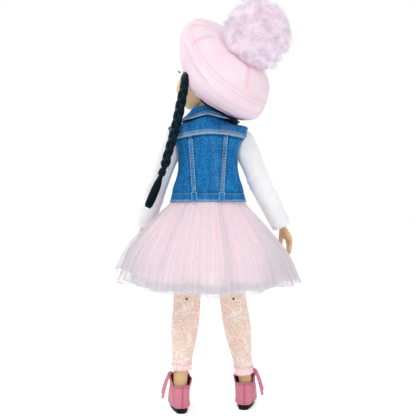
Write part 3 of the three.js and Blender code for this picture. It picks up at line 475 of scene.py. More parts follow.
def paint_felt():
    """Fine felt, with painted shade laid on by masks: pinker in hollows and creases, cooler on a shaded side
    and the underside, a deep lavender in the underside's folds; tone makes it paler.
    """
    p = Paint("felt", Roughness=0.95, Sheen_Weight=0.2, Sheen_Roughness=0.5)
    p.shader.inputs["Sheen Tint"].default_value = rgb("#F6E2EC")
    at = p.coords()
    fleck = p.noise(at, 1500, 6, 0.7)
    cloud = p.mask(p.noise(at, 34, 3), 0.4, 0.68)
    base = p.mix(p.mask(fleck, 0.35, 0.65), "#F8E2EC", "#FCEFF7")
    warm = p.mix(p.times(cloud, 0.55), base, "#F7DAE4")
    # Painted shade: pinker in the hollows and creases
    hollow_shaded = p.mix(p.tone("hollow_shade"), warm, "#F5BFCB")
    # Painted shade: cooler on a shaded side and on the underside
    cool = p.mix(p.tone("shade"), hollow_shaded, "#DDBED2")
    # Painted shade: a deep lavender in the underside's folds
    fold_shaded = p.mix(p.tone("fold"), cool, "#8376A0")
    p.into("Base Color", p.mix(p.tone(), fold_shaded, "#FBEDF4"))
    p.bump(p.math("ADD", p.times(fleck, 0.7), p.noise(at, 500, 3)), 0.28, 0.0004)
    return p.made


def paint_fur():
    """Long pile whose tone runs from 0 at the root to 1 at the tip; its tips grey as painted shade and it
    glows a little as painted light.
    """
    # The emission is a painted glow that lightens the pile
    p = Paint("fur", Roughness=0.85, Sheen_Weight=0.3, Specular_IOR_Level=0.1, Emission_Strength=0.3)
    cloud = p.mask(p.noise(p.coords(), 45, 3), 0.36, 0.66)
    patch = p.mix(cloud, "#EFDAE4", "#F0EDF2")
    # Deeper pink at the roots, palest in the middle, and painted shade that greys the tips
    stops = [(0.0, "#E4BCCC"), (0.35, "#EEDAE3"), (0.68, "#F5F1F5"), (0.85, "#D9CEDC"), (1.0, "#A99DB3")]
    length = p.ramp(p.tone(), stops)
    whole = p.mix(0.62, patch, length)
    p.into("Base Color", whole)
    # The pile's colour also glows, as painted light
    p.into("Emission Color", whole)
    p.bump(p.noise(p.coords(), 800, 3), 0.1, 0.0003)
    return p.made


def paint_hair():
    """Black hair with strands along its map, painted highlights on its lightest strands, and a cool shine."""
    p = Paint("hair", Roughness=0.36, Specular_IOR_Level=0.3)
    p.shader.inputs["Specular Tint"].default_value = rgb("#7FB2C8")
    streak = p.noise(p.scaled((260, 3, 1), "UV"), 1.0, 4, 0.6)
    # Dark strands and lighter ones; the lightest bluish stop is a painted highlight
    p.into("Base Color", p.ramp(streak, [(0.3, "#03060A"), (0.52, "#0A151F"), (0.72, "#22384A")]))
    p.bump(streak, 0.6, 0.0005)
    return p.made


def paint_denim():
    """Blue threads in a diagonal weave; tone above 0 is worn pale, below 0 darker as painted shade, and
    beside the seams also as unfaded denim.
    """
    p = Paint("denim", Roughness=0.95, Specular_IOR_Level=0.12)
    flat = p.scaled((1, 1, 1), "UV")
    twill = p.bands(flat, "DIAGONAL", 900.0, 1.2, 2.0)
    slub = p.noise(p.scaled((1400, 180, 1), "UV"), 1.0, 5, 0.7)
    cloud = p.noise(p.coords(), 110, 4, 0.6)
    streak = p.noise(p.scaled((420, 34, 1), "UV"), 1.0, 4, 0.65)
    fleck = p.noise(p.coords(), 640, 6, 0.8)
    patchy = p.times_add(streak, 0.5, p.times(cloud, 0.5))
    base = p.ramp(patchy, [(0.38, "#004C86"), (0.5, "#0068AE"), (0.62, "#1C84CB")])
    speck = p.mix(p.mask(fleck, 0.43, 0.62), base, "#3A96D6")
    threads = p.mix(p.times(slub, 0.3), speck, "#003E74")
    shaded = p.mix(p.most(p.times(p.tone(), -1.0), 0.0), threads, "#00264F")
    grain = p.times_add(fleck, 0.9, 0.35)
    worn = p.times(p.most(p.tone(), 0.0), grain)
    p.into("Base Color", p.mix(worn, shaded, "#A9C9DE"))
    p.bump(p.math("ADD", p.times(twill, 0.8), slub), 0.45, 0.0004)
    return p.made


def paint_thread(name, colour, dark):
    """Sewing thread in one colour with a darker lay."""
    p = Paint(name, Roughness=0.8)
    p.into("Base Color", p.ramp(p.noise(p.coords(), 700, 3), [(0.35, dark), (0.65, colour)]))
    p.bump(p.noise(p.coords(), 2500, 2), 0.3, 0.0002)
    return p.made


def paint_cotton():
    """A fine white knit."""
    p = Paint("cotton", Roughness=0.9, Sheen_Weight=0.2)
    knit = p.bands(p.scaled((1, 1, 1), "UV"), "X", 700.0, 0.6, 1.0)
    cloud = p.noise(p.coords(), 90, 4)
    p.into("Base Color", p.ramp(cloud, [(0.3, "#F1F2F5"), (0.7, "#FBFBFC")]))
    p.bump(p.math("ADD", p.times(knit, 0.3), p.noise(p.coords(), 1200, 3)), 0.18, 0.0003)
    return p.made


def paint_tulle(name, pale, rose, edge, thin, dense, glow):
    """A sheer net that glows a little as painted light, with painted shade and highlights along its pleats;
    tone up to 0.5 turns it to the edge colour, a painted shade at the sides and low down, and from there to
    the hem's.
    """
    # Its emission is a painted glow that lightens the net
    p = Paint(name, Roughness=0.8, Sheen_Weight=0.3, Specular_IOR_Level=0.15, Emission_Strength=glow)
    net = p.cells(p.scaled((1900, 1900, 1), "UV"), "DISTANCE_TO_EDGE")
    threads = p.ramp(net, [(0.06, "#FFFFFF"), (0.2, "#000000")])
    pleats = p.noise(p.scaled((95, 1.4, 1), "UV"), 1.0, 2, 0.5)
    ridges = p.noise(p.scaled((210, 1.2, 1), "UV"), 1.0, 2, 0.5)
    # Paler and rosier streaks along the pleats, as painted light and shade
    tint = p.mix(p.mask(pleats, 0.4, 0.6), pale, rose)
    # Painted shadow in the broad folds
    folds = p.noise(p.scaled((40, 1.0, 1), "UV"), 1.0, 1, 0.5)
    tint = p.mix(p.times(p.mask(folds, 0.5, 0.62), 0.5), tint, "#D9D2DD")
    # Painted highlights on the pleats' ridges
    lit = p.mix(p.times(p.mask(ridges, 0.52, 0.66), 0.6), tint, "#FFF8FA")
    # Painted shade: tone greys the net towards the sides and low down
    shade_greyed = p.mix(p.math("MINIMUM", p.times(p.tone(), 2.0), 1.0), lit, edge)
    hemmed = p.most(p.times_add(p.tone(), 2.0, -1.0), 0.0)
    whole = p.mix(hemmed, shade_greyed, "#D3D0D8")
    p.into("Base Color", whole)
    # The net's colour also glows, as painted light
    p.into("Emission Color", whole)
    cover = p.times_add(threads, dense - thin, thin)
    gathered = p.times_add(p.mask(pleats, 0.42, 0.62), 0.2, cover)
    p.into("Alpha", p.times_add(hemmed, 0.45, gathered))
    return p.made


def paint_satin():
    """Pale pink satin with a soft sheen."""
    p = Paint("satin", Roughness=0.38, Sheen_Weight=0.2)
    weave = p.noise(p.scaled((2200, 200, 1), "UV"), 1.0, 3)
    p.into("Base Color", p.ramp(weave, [(0.3, "#F1CFDC"), (0.7, "#F8DDE7")]))
    p.bump(weave, 0.12, 0.0002)
    return p.made


def paint_lace():
    """Ringed flowers with borders over a fine net that glows a little as painted light; tone makes it dense
    and pink.
    """
    # Its emission is a painted glow that lightens the lace
    p = Paint("lace", Roughness=0.85, Sheen_Weight=0.2, Emission_Strength=0.17)
    flat = p.scaled((112, 112, 1), "UV")
    warp = p.node("TexNoise", {"Vector": flat}, Scale=2.4, Detail=4.0).outputs["Color"]
    bent = p.node("Mix", data_type="VECTOR")
    bent.inputs[0].default_value = 0.45
    p.tree.links.new(flat, bent.inputs[4])
    p.tree.links.new(warp, bent.inputs[5])
    rose = p.cells(bent.outputs[1], "F1", Randomness=0.85)
    rings = p.math("SINE", p.times(rose, 62.0))
    edge = p.cells(bent.outputs[1], "DISTANCE_TO_EDGE", Randomness=0.85)
    border = p.ramp(edge, [(0.015, "#FFFFFF"), (0.045, "#000000")])
    petals = p.mask(rings, 0.55, 0.95)
    net = p.cells(p.scaled((520, 520, 1), "UV"), "DISTANCE_TO_EDGE")
    holes = p.ramp(net, [(0.1, "#FFFFFF"), (0.26, "#000000")])
    figure = p.most(petals, border)
    cover = p.most(p.times(figure, 0.92), p.times_add(holes, 0.3, 0.6))
    whole = p.most(cover, p.tone())
    p.into("Alpha", p.times(whole, 0.96))
    rosy = p.mask(p.noise(p.coords(), 260, 3, 0.7), 0.54, 0.68)
    netted = p.mix(p.times(holes, 0.7), "#F8E4CB", "#F9DCD2")
    meshed = p.mix(p.times(rosy, 0.4), netted, "#E0A99F")
    ground = p.mix(p.tone(), p.mix(figure, meshed, "#FFF6F2"), "#FCE4EB")
    p.into("Base Color", ground)
    # The lace's colour also glows, as painted light
    p.into("Emission Color", ground)
    p.bump(p.most(figure, p.tone()), 0.6, 0.0005)
    return p.made


def paint_suede():
    """Napped suede; tone darkens it along the seams."""
    p = Paint("suede", Roughness=0.97, Sheen_Weight=0.25)
    nap = p.noise(p.coords(), 700, 6, 0.75)
    cloud = p.noise(p.coords(), 160, 4)
    base = p.mix(nap, "#CC738B", "#EC9CAE")
    clouded = p.mix(p.times(cloud, 0.35), base, "#BF627B")
    p.into("Base Color", p.mix(p.tone(), clouded, "#9C3E58"))
    p.bump(nap, 0.35, 0.0005)
    return p.made


def paint_plain(name, dark, light, roughness, scale=300, strength=0.15, **sockets):
    """Two close colours in a fine grain."""
    p = Paint(name, Roughness=roughness, **sockets)
    grain = p.noise(p.coords(), scale, 5)
    p.into("Base Color", p.ramp(grain, [(0.3, dark), (0.7, light)]))
    p.bump(grain, strength, 0.0003)
    return p.made


skin = paint_skin()
felt = paint_felt()
fur = paint_fur()
hair = paint_hair()
denim = paint_denim()
cotton = paint_cotton()
# Tulle: pale and rose colours, the painted shade at the sides, thin and dense cover, and the painted glow
tulle_outer = paint_tulle("tulle_outer", "#F4ECF1", "#F9E3EA", "#D8D2D8", 0.2, 0.5, 0.08)
tulle_inner = paint_tulle("tulle_inner", "#FDECF1", "#FAD6E0", "#E2DAE0", 0.34, 0.75, 0.12)
satin = paint_satin()
lace = paint_lace()
suede = paint_suede()
thread = paint_thread("thread_pale", "#D9D3BC", "#B3A98C")
thread_tan = paint_thread("thread_tan", "#B59F72", "#8C7748")
thread_pink = paint_thread("thread_pink", "#F9DCE6", "#EDBACB")
thread_felt = paint_thread("thread_felt", "#EBA9BC", "#DC8FA6")
thread_rose = paint_thread("thread_rose", "#C4647C", "#A84A64")
plastic = paint_plain("joint_plastic", "#CDB592", "#DEC8A6", 0.5)
brass = paint_plain("brass", "#8E7444", "#C9AE74", 0.38, Metallic=1.0)
rubber = paint_plain("sole_rubber", "#07080B", "#111318", 0.7, 500, Specular_IOR_Level=0.25)
elastic = paint_plain("elastic", "#E5B7C6", "#F3CFDB", 0.8, 900)
band = paint_plain("hair_band", "#04070B", "#0C141C", 0.75, 900, Specular_IOR_Level=0.2)
lining_red = paint_plain("boot_lining", "#4A1724", "#7A2E40", 0.9, 600)

# Stage: the camera stands behind the doll, as in the photograph

CAMERA_LENS, CAMERA_AWAY, CAMERA_HIGH = 57.4, 0.65, 0.197
AIM_HIGH = 0.18
WORLD_STRENGTH, FLOOR_GLOW = 0.52, 0.42
FLOOR_HALF = 3000
# Suns: place, softness, power. Area lamps: place, size, power
SUNS = {"key": ((0.6, 0.9, 1.1), 0.5, 1.15), "front": ((-0.5, -0.9, 1.0), 0.8, 0.75)}
AREAS = {"fill": ((-0.7, 0.55, 0.35), 0.5, 1.1), "rim": ((0.5, -0.2, 0.6), 0.4, 1.0)}


def add_lamp(name, kind, where, aim, power):
    """A lamp that points from one place at another."""
    lamp = bpy.data.lights.new(name, kind)
    lamp.energy = power
    made = bpy.data.objects.new(name, lamp)
    made.location = where
    made.rotation_euler = (Vector(aim) - Vector(where)).to_track_quat("-Z", "Y").to_euler()
    scene.collection.objects.link(made)
    return lamp


def set_stage():
    """The camera at the height of the photo, the lights and a white floor."""
    data = bpy.data.cameras.new("camera")
    data.lens = CAMERA_LENS
    data.sensor_width = 36
    camera = bpy.data.objects.new("camera", data)
    camera.location = (0, CAMERA_AWAY, CAMERA_HIGH)
    camera.rotation_euler = (math.pi / 2, 0, math.pi)
    scene.collection.objects.link(camera)
    scene.camera = camera
    world = bpy.data.worlds.new("world")
    world.use_nodes = True
    tree = world.node_tree
    back = tree.nodes["Background"]
    back.inputs["Color"].default_value = (1, 1, 1, 1)
    path = tree.nodes.new("ShaderNodeLightPath")
    most = tree.nodes.new("ShaderNodeMath")
    most.operation = "MAXIMUM"
    tree.links.new(path.outputs["Is Glossy Ray"], most.inputs[0])
    tree.links.new(path.outputs["Is Transmission Ray"], most.inputs[1])
    seen = tree.nodes.new("ShaderNodeMath")
    seen.operation = "MAXIMUM"
    tree.links.new(path.outputs["Is Camera Ray"], seen.inputs[0])
    tree.links.new(most.outputs[0], seen.inputs[1])
    level = tree.nodes.new("ShaderNodeMapRange")
    level.inputs["To Min"].default_value = WORLD_STRENGTH
    level.inputs["To Max"].default_value = 1.0
    tree.links.new(seen.outputs[0], level.inputs["Value"])
    tree.links.new(level.outputs[0], back.inputs["Strength"])
    scene.world = world
    for name, (where, softness, power) in SUNS.items():
        add_lamp(name, "SUN", where, (0, 0, 0), power).angle = softness
    for name, (where, width, power) in AREAS.items():
        add_lamp(name, "AREA", where, (0, 0, AIM_HIGH), power).size = width
    p = Paint("floor", Roughness=0.9, Specular_IOR_Level=0.1)
    p.into("Base Color", p.ramp(p.noise(p.coords(), 3), [(0.2, "#FDFDFD"), (0.8, "#FFFFFF")]))
    path = p.node("LightPath")
    p.shader.inputs["Emission Color"].default_value = (1, 1, 1, 1)
    p.into("Emission Strength", p.times(path.outputs["Is Camera Ray"], FLOOR_GLOW))
    x, y = np.meshgrid([-FLOOR_HALF, FLOOR_HALF], [-FLOOR_HALF, FLOOR_HALF])
    corners = np.stack([x, y, np.zeros_like(x)], 2)
    floor = Build().grid(corners, False).object("floor", p.made, weld=False)


set_stage()


def finish_piece(made, body=None, replaces=(), blend=None):
    """Hangs a piece on its body, or leaves it baked in place when it spans a joint, and hides the CAD parts
    it replaces.
    """
    if blend:
        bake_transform(made)
    elif body:
        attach(made, body)
    if replaces:
        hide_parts(*([replaces] if isinstance(replaces, str) else replaces))
    return made


# Levels of the frame, in millimetres
PELVIS, NECK, KNEE, ANKLE = 206, 286, 108.5, 36
# Trunk rows: share of height, width, front, back, and the jacket's ease in width and in depth
TRUNK = np.array(
    [
        [0, 1, 0.98, 1, 0.3, 0.33],
        [0.12, 0.965, 0.92, 0.95, 0.26, 0.28],
        [0.25, 0.9, 0.86, 0.88, 0.1, 0.12],
        [0.4, 0.86, 0.82, 0.84, 0.03, 0.05],
        [0.55, 0.9, 0.87, 0.89, 0.08, 0.06],
        [0.66, 0.94, 0.92, 0.93, 0.3, 0.06],
        [0.75, 0.95, 0.92, 0.94, 0.66, 0.05],
        [0.83, 0.9, 0.85, 0.88, 0.86, 0.03],
        [0.89, 0.74, 0.75, 0.78, 1.1, 0],
        [0.95, 0.54, 0.64, 0.66, 0.55, 0],
        [1, 0.4, 0.58, 0.6, 0.1, 0],
    ]
)
TRUNK_WIDE, TRUNK_DEEP, TRUNK_POWER = 30, 18.5, 2.4
# The jacket's shoulders are squared: their half widths at levels from the armhole to the neck
SHOULDER_LEVELS = vec(272.4, 275.0, 275.8, 276.8, 278.8, 282, 286)
SHOULDER_WIDTHS = vec(34.8, 34.9, 33.4, 27.0, 22.4, 17.4, 13.0)
SIDES = {
    "left": {"side": 1, "shoulder": vec(34, 0, 264), "elbow": vec(50, 2, 221), "wrist": vec(64, -27, 181)},
    "right": {"side": -1, "shoulder": vec(-34, 0, 264), "elbow": vec(-51, 2, 221),
              "wrist": vec(-73, -7, 179)},
}


def trunk_size(level, extra, ease=0.0, jacket=False):
    """Half width, front depth and back depth of the trunk or the jacket at a level."""
    rows = TRUNK.copy()
    levels = PELVIS + rows[:, 0] * (NECK - PELVIS)
    if jacket:
        rows = np.concatenate([[[0, 1, 0.98, 1, 0.4, 0.42]], rows])
        levels = np.concatenate([[JACKET_LOW], levels])
        front, back, ease_deep = [smooth(SHOULDER_LEVELS, levels, rows[:, k]) for k in (2, 3, 5)]
        kept = levels < SHOULDER_LEVELS[0]
        none = np.zeros(len(SHOULDER_LEVELS))
        boxed = np.stack([none, SHOULDER_WIDTHS / TRUNK_WIDE, front, back, none, ease_deep], 1)
        rows = np.concatenate([rows[kept], boxed])
        levels = np.concatenate([levels[kept], SHOULDER_LEVELS])
    width = smooth(level, levels, rows[:, 1] * TRUNK_WIDE + rows[:, 4] * ease) + extra
    front = smooth(level, levels, rows[:, 2] * TRUNK_DEEP + rows[:, 5] * ease) + extra
    back = smooth(level, levels, rows[:, 3] * TRUNK_DEEP + rows[:, 5] * ease) + extra
    return width, front, back


def oval(width, front, back, angle, power):
    """Places round a soft box that is deeper or flatter in front than behind."""
    side = squared(np.cos(angle), power) * width
    rear = squared(np.sin(angle), power)
    return side, rear * np.where(rear > 0, back, front)


# Denim jacket: each panel is a grid between two edges of the jacket's oval
JACKET_OUT, JACKET_EASE, JACKET_POWER, CLOTH = 2.9, 10, 3.0, 1.3
JACKET_LOW, JACKET_TOP = 203, 286
# The armhole's half round: its middle level, half height and reach behind
ARMHOLE, ARMHOLE_HALF, ARMHOLE_BACK = 258, 17, 12
# The yoke seam's level at the middle, its fall, the reach and power of that, and its tilt
YOKE = (268.6, 4.6, 33.0, 1.5, -0.03)
FRONT_YOKE = 262.8
HEM_STITCH, EDGE_STITCH, HEM_FOLD = 210.3, 204.6, 203.6
POCKET_X, POCKET_HALF, POCKET_LOW, POCKET_TOP = 20.5, 7.6, 238, 257
# The pocket's lid: half width, lowest level, and how fast its edge rises to the sides
LID_HALF, LID_LOW, LID_RISE = 8.2, 248, 0.35
# The placket's edges, by their distance from the middle, and the level where the front seams end
PLACKET_IN, PLACKET_OUT, FRONT_SEAM_TOP = 4.5, 11, 262.5
# The long back seams: distance from the middle, spread, and the level and height of that spread
SEAM_X, SEAM_SPREAD, SEAM_LOW, SEAM_TALL = 12.6, 4.2, 204, 60
FRONT_SEAM_X, FRONT_SEAM_SPREAD = 13.5, 3.5
# The tabs over the feet of the back seams
TAB_HALF, TAB_LOW, TAB_TOP = 2.6, 202.8, 211.6
# The collar's reach and lower edge at the middle of the back, and their change to the sides
COLLAR_REACH, COLLAR_WIDEN, COLLAR_LOW, COLLAR_FALL = 17.4, 8.8, 286.3, 9.8
COLLAR_FOOT, COLLAR_TOP, COLLAR_ARC, COLLAR_STEPS = 287, 295, 1.55 * math.pi, 120
BUTTON_X, BUTTONS = 9, 4
# A button's profile: radius and height of its rings
BUTTON_RADII = vec(0, 0.5, 0.9, 1.25, 1.7, 2.0, 2.2, 2.3, 2.15, 1.4, 0)
BUTTON_HEIGHTS = vec(0.95, 0.95, 0.75, 0.72, 1.05, 1.1, 0.95, 0.5, -0.2, -0.4, -0.4)


def yoke_level(x):
    """The level of the yoke seam at a place across the jacket."""
    top, fall, reach, power, tilt = YOKE
    return top - fall * (np.abs(x) / reach) ** power + tilt * x


def armhole(level):
    """How open the armhole is at a level, from 0 at its ends to 1 in its middle."""
    return np.sqrt(np.clip(1 - ((level - ARMHOLE) / ARMHOLE_HALF) ** 2, 0, 1))


def jacket_size(level, extra=0.0):
    """Half width, front depth and back depth of the jacket at a level."""
    return trunk_size(level, JACKET_OUT + extra, JACKET_EASE, True)


def jacket_row(level, low, high, count):
    """Points along the jacket at one level, from angle low to high."""
    x, y = oval(*jacket_size(level), np.linspace(low, high, 240), JACKET_POWER)
    return even(level_ring(x, y, level), count)


def angle_at_y(level, y):
    """The angle at which the jacket passes a depth."""
    _, front, back = jacket_size(level)
    depth = back if y > 0 else front
    return math.asin(min(1.0, abs(y) / float(depth)) ** (JACKET_POWER / 2)) * (1 if y > 0 else -1)


def angle_at_x(level, x):
    """The angle at which the jacket passes a width."""
    width = jacket_size(level)[0]
    return math.acos(min(1.0, abs(x) / float(width)) ** (JACKET_POWER / 2))


def collar_spread(turn):
    """How far the collar reaches out, by the angle from the middle of the back."""
    return COLLAR_REACH + COLLAR_WIDEN * np.sin(turn) ** 2


def collar_low(turn):
    """The level of the collar's lower edge, by the same angle."""
    return COLLAR_LOW - COLLAR_FALL * np.sin(turn) ** 2


def seam_x(level, side):
    """Where the long back seams run: they spread a little on their way up."""
    return side * (SEAM_X + SEAM_SPREAD * (level - SEAM_LOW) / SEAM_TALL)


def front_seam_x(level):
    """Where the front seams run, to both sides of the middle."""
    return FRONT_SEAM_X + FRONT_SEAM_SPREAD * (level - SEAM_LOW) / SEAM_TALL


def back_relief(points, across):
    """Height and tone of the back panel, pale where worn and darker as painted shade: yoke, seams, hem band,
    edges and soft creases.
    """
    x, z = points[..., 0], points[..., 2]
    over = yoke_level(x)
    height = 0.55 * step(z, over - 0.7, over + 0.3)
    wear_shade_tone = bell(z - over + 0.2, 0.9) + 0.35 * bell(z - over - 2.6, 0.8)
    for side in (-1, 1):
        away = (x - seam_x(z, side)) * side
        below = step(over - z, 0.2, 1.2)
        # Darker to both sides of each seam, as unfaded denim and painted shade
        wear_shade_tone = wear_shade_tone - 0.4 * (bell(away - 3.1, 0.7) + bell(away + 2.6, 0.7)) * below
        height = height + 0.4 * bell(away, 1.6) * below - 0.25 * bell(away - 2.4, 0.6) * below
        wear_shade_tone = wear_shade_tone + 0.5 * bell(away, 1.2) * below * (0.6 + 0.5 * soft_noise(z / 3, x / 9, 5))
    height = height + 0.5 * step(HEM_STITCH - z, -0.3, 0.5)
    wear_shade_tone = wear_shade_tone + 0.7 * bell(z - HEM_FOLD, 0.8) + 0.2 * bell(z - HEM_STITCH - 0.4, 0.6)
    edge = np.minimum(across, 1 - across) * 2
    height = height + 0.35 * bell(edge, 0.1) * step(z, 240, 246)
    # Pale worn edges, and a painted shadow under the yoke seam
    wear_shade_tone = wear_shade_tone + 0.5 * bell(edge, 0.03) - 0.8 * bell(z - over + 2.3, 0.9)
    # Darker just above the hem stitch
    wear_shade_tone = wear_shade_tone - 0.3 * bell(z - HEM_STITCH - 1.6, 0.7)
    turn = np.arctan2(x, points[..., 1])
    reach = np.hypot(x, points[..., 1])
    # Painted shadow under the collar
    wear_shade_tone = wear_shade_tone - step(collar_spread(turn) + 3.0 - reach, 0, 2) * step(z - collar_low(turn) + 2.0, 0, 1.6)
    # Painted shade: the sides below the yoke are a little darker
    wear_shade_tone = wear_shade_tone - 0.07 * step(np.abs(x), 15, 24) * step(over - z, 0, 1)
    wear_shade_tone = wear_shade_tone + 0.16 * soft_noise(x / 11, z / 15, 23) + 0.12 * soft_noise(x / 1.6, z / 14, 24)
    height = height + 0.32 * soft_noise(x / 7, z / 9, 21) + 0.22 * soft_noise(x / 3.2, z / 4.1, 22)
    return height, np.clip(wear_shade_tone, -1, 1)


def jacket_back():
    """The back panel, and its grid with the way it faces."""
    rows, columns = ((121, 111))
    grid = []
    for level in np.linspace(JACKET_LOW, JACKET_TOP, rows):
        low = angle_at_y(level, max(0.15, ARMHOLE_BACK * float(armhole(level))))
        grid.append(jacket_row(level, low, math.pi - low, columns))
    points = np.array(grid)
    out = normals(points, False)
    across = np.linspace(0, 1, columns)[None] * np.ones((rows, 1))
    height, wear_shade_tone = back_relief(points, across)
    points = points + out * height[..., None]
    build = Build().shell(points, CLOTH, False, (0.09, 0.083), wear_shade_tone)
    made = build.object("jacket_back", denim)
    finish_piece(made, "torso", "vest_back")
    return points, normals(points, False)


def line_on(points, out, pick):
    """Points and facings on a grid, at rows and columns given as fractions."""
    rows, columns = points.shape[:2]
    r, c = np.clip(pick[:, 0], 0, rows - 1.001), np.clip(pick[:, 1], 0, columns - 1.001)
    i, j = r.astype(int), c.astype(int)
    a, b = (r - i)[:, None], (c - j)[:, None]

    def at(grid):
        return (
            grid[i, j] * (1 - a) * (1 - b) + grid[i + 1, j] * a * (1 - b)
            + grid[i, j + 1] * (1 - a) * b + grid[i + 1, j + 1] * a * b
        )

    return at(points), unit(at(out))


def column_at_x(points, row, x):
    """The column at which a row of a panel passes x, as a fraction."""
    xs = points[row, :, 0]
    order = np.argsort(xs)
    return float(np.interp(x, xs[order], np.arange(len(xs))[order]))


def row_at(points, level):
    """The row of a panel at a level, as a fraction."""
    zs = points[:, points.shape[1] // 2, 2]
    return np.interp(level, zs, np.arange(len(zs)))


def line_by_level(points, out, x_of_level, low, high, count=60):
    """A line up a panel whose x follows from its level."""
    pick = []
    for level in np.linspace(low, high, count):
        row = row_at(points, level)
        pick.append([row, column_at_x(points, int(round(row)), x_of_level(level))])
    return line_on(points, out, np.array(pick))


def line_by_x(points, out, level_of_x, low, high, count=80):
    """A line across a panel whose level follows from its x."""
    pick = []
    for x in np.linspace(low, high, count):
        row = row_at(points, level_of_x(x))
        pick.append([row, column_at_x(points, int(round(row)), x)])
    return line_on(points, out, np.array(pick))


def line_by_column(points, out, share, low, high, count=60):
    """A line at one share across a panel, such as beside its edge."""
    row = row_at(points, np.linspace(low, high, count))
    return line_on(points, out, np.stack([row, np.full(count, share * (points.shape[1] - 1))], 1))


def jacket_back_stitches(points, out):
    """Thread along the yoke, seams, hem and armholes, and a tab over the foot of each seam."""
    pale, tan = Build(), Build()
    for shift in (0.9, 2.5):
        stitches(pale, *line_by_x(points, out, lambda x: yoke_level(x) + shift, -35.5, 31.5), width=0.65)
    for side in (-1, 1):
        for shift, build in ((-1.6, pale), (1.6, tan if side < 0 else pale)):
            line = line_by_level(points, out, lambda z: seam_x(z, side) + shift, 205, 262.5 + 3 * (side < 0))
            stitches(build, *line, length=2.1, width=0.7)
    stitches(tan, *line_by_x(points, out, lambda x: HEM_STITCH, -33.5, 33.5), width=0.5)
    stitches(pale, *line_by_x(points, out, lambda x: EDGE_STITCH, -35, 35), width=0.45)
    for share in (0.035, 0.965):
        stitches(pale, *line_by_column(points, out, share, 243, 276), width=0.45)
    finish_piece(pale.object("jacket_back_stitches", thread), "torso")
    finish_piece(tan.object("jacket_back_tan_stitches", thread_tan), "torso")
    tabs = Build()
    half, count = TAB_HALF, 24
    for side in (-1, 1):
        line, up = line_by_level(points, out, lambda z: seam_x(z, side), TAB_LOW, TAB_TOP, count)
        across = unit(np.cross(up, np.gradient(line, axis=0)))
        span = np.linspace(-half, half, 13)
        from_middle, from_centre = np.abs(span) / half, np.abs(np.linspace(-1, 1, count))
        high = (1 - 0.5 * from_centre**8)[:, None] * (0.85 - 0.35 * from_middle**6)[None]
        sheet = line[:, None] + span[None, :, None] * across[:, None] + high[..., None] * up[:, None]
        wear_shade_tone = 0.9 * from_middle[None] ** 4 + 0.6 * from_centre[:, None] ** 6
        tabs.shell(sheet, 0.8, False, (0.0052, 0.009), np.clip(wear_shade_tone, 0, 1))
    finish_piece(tabs.object("jacket_tabs", denim), "torso")


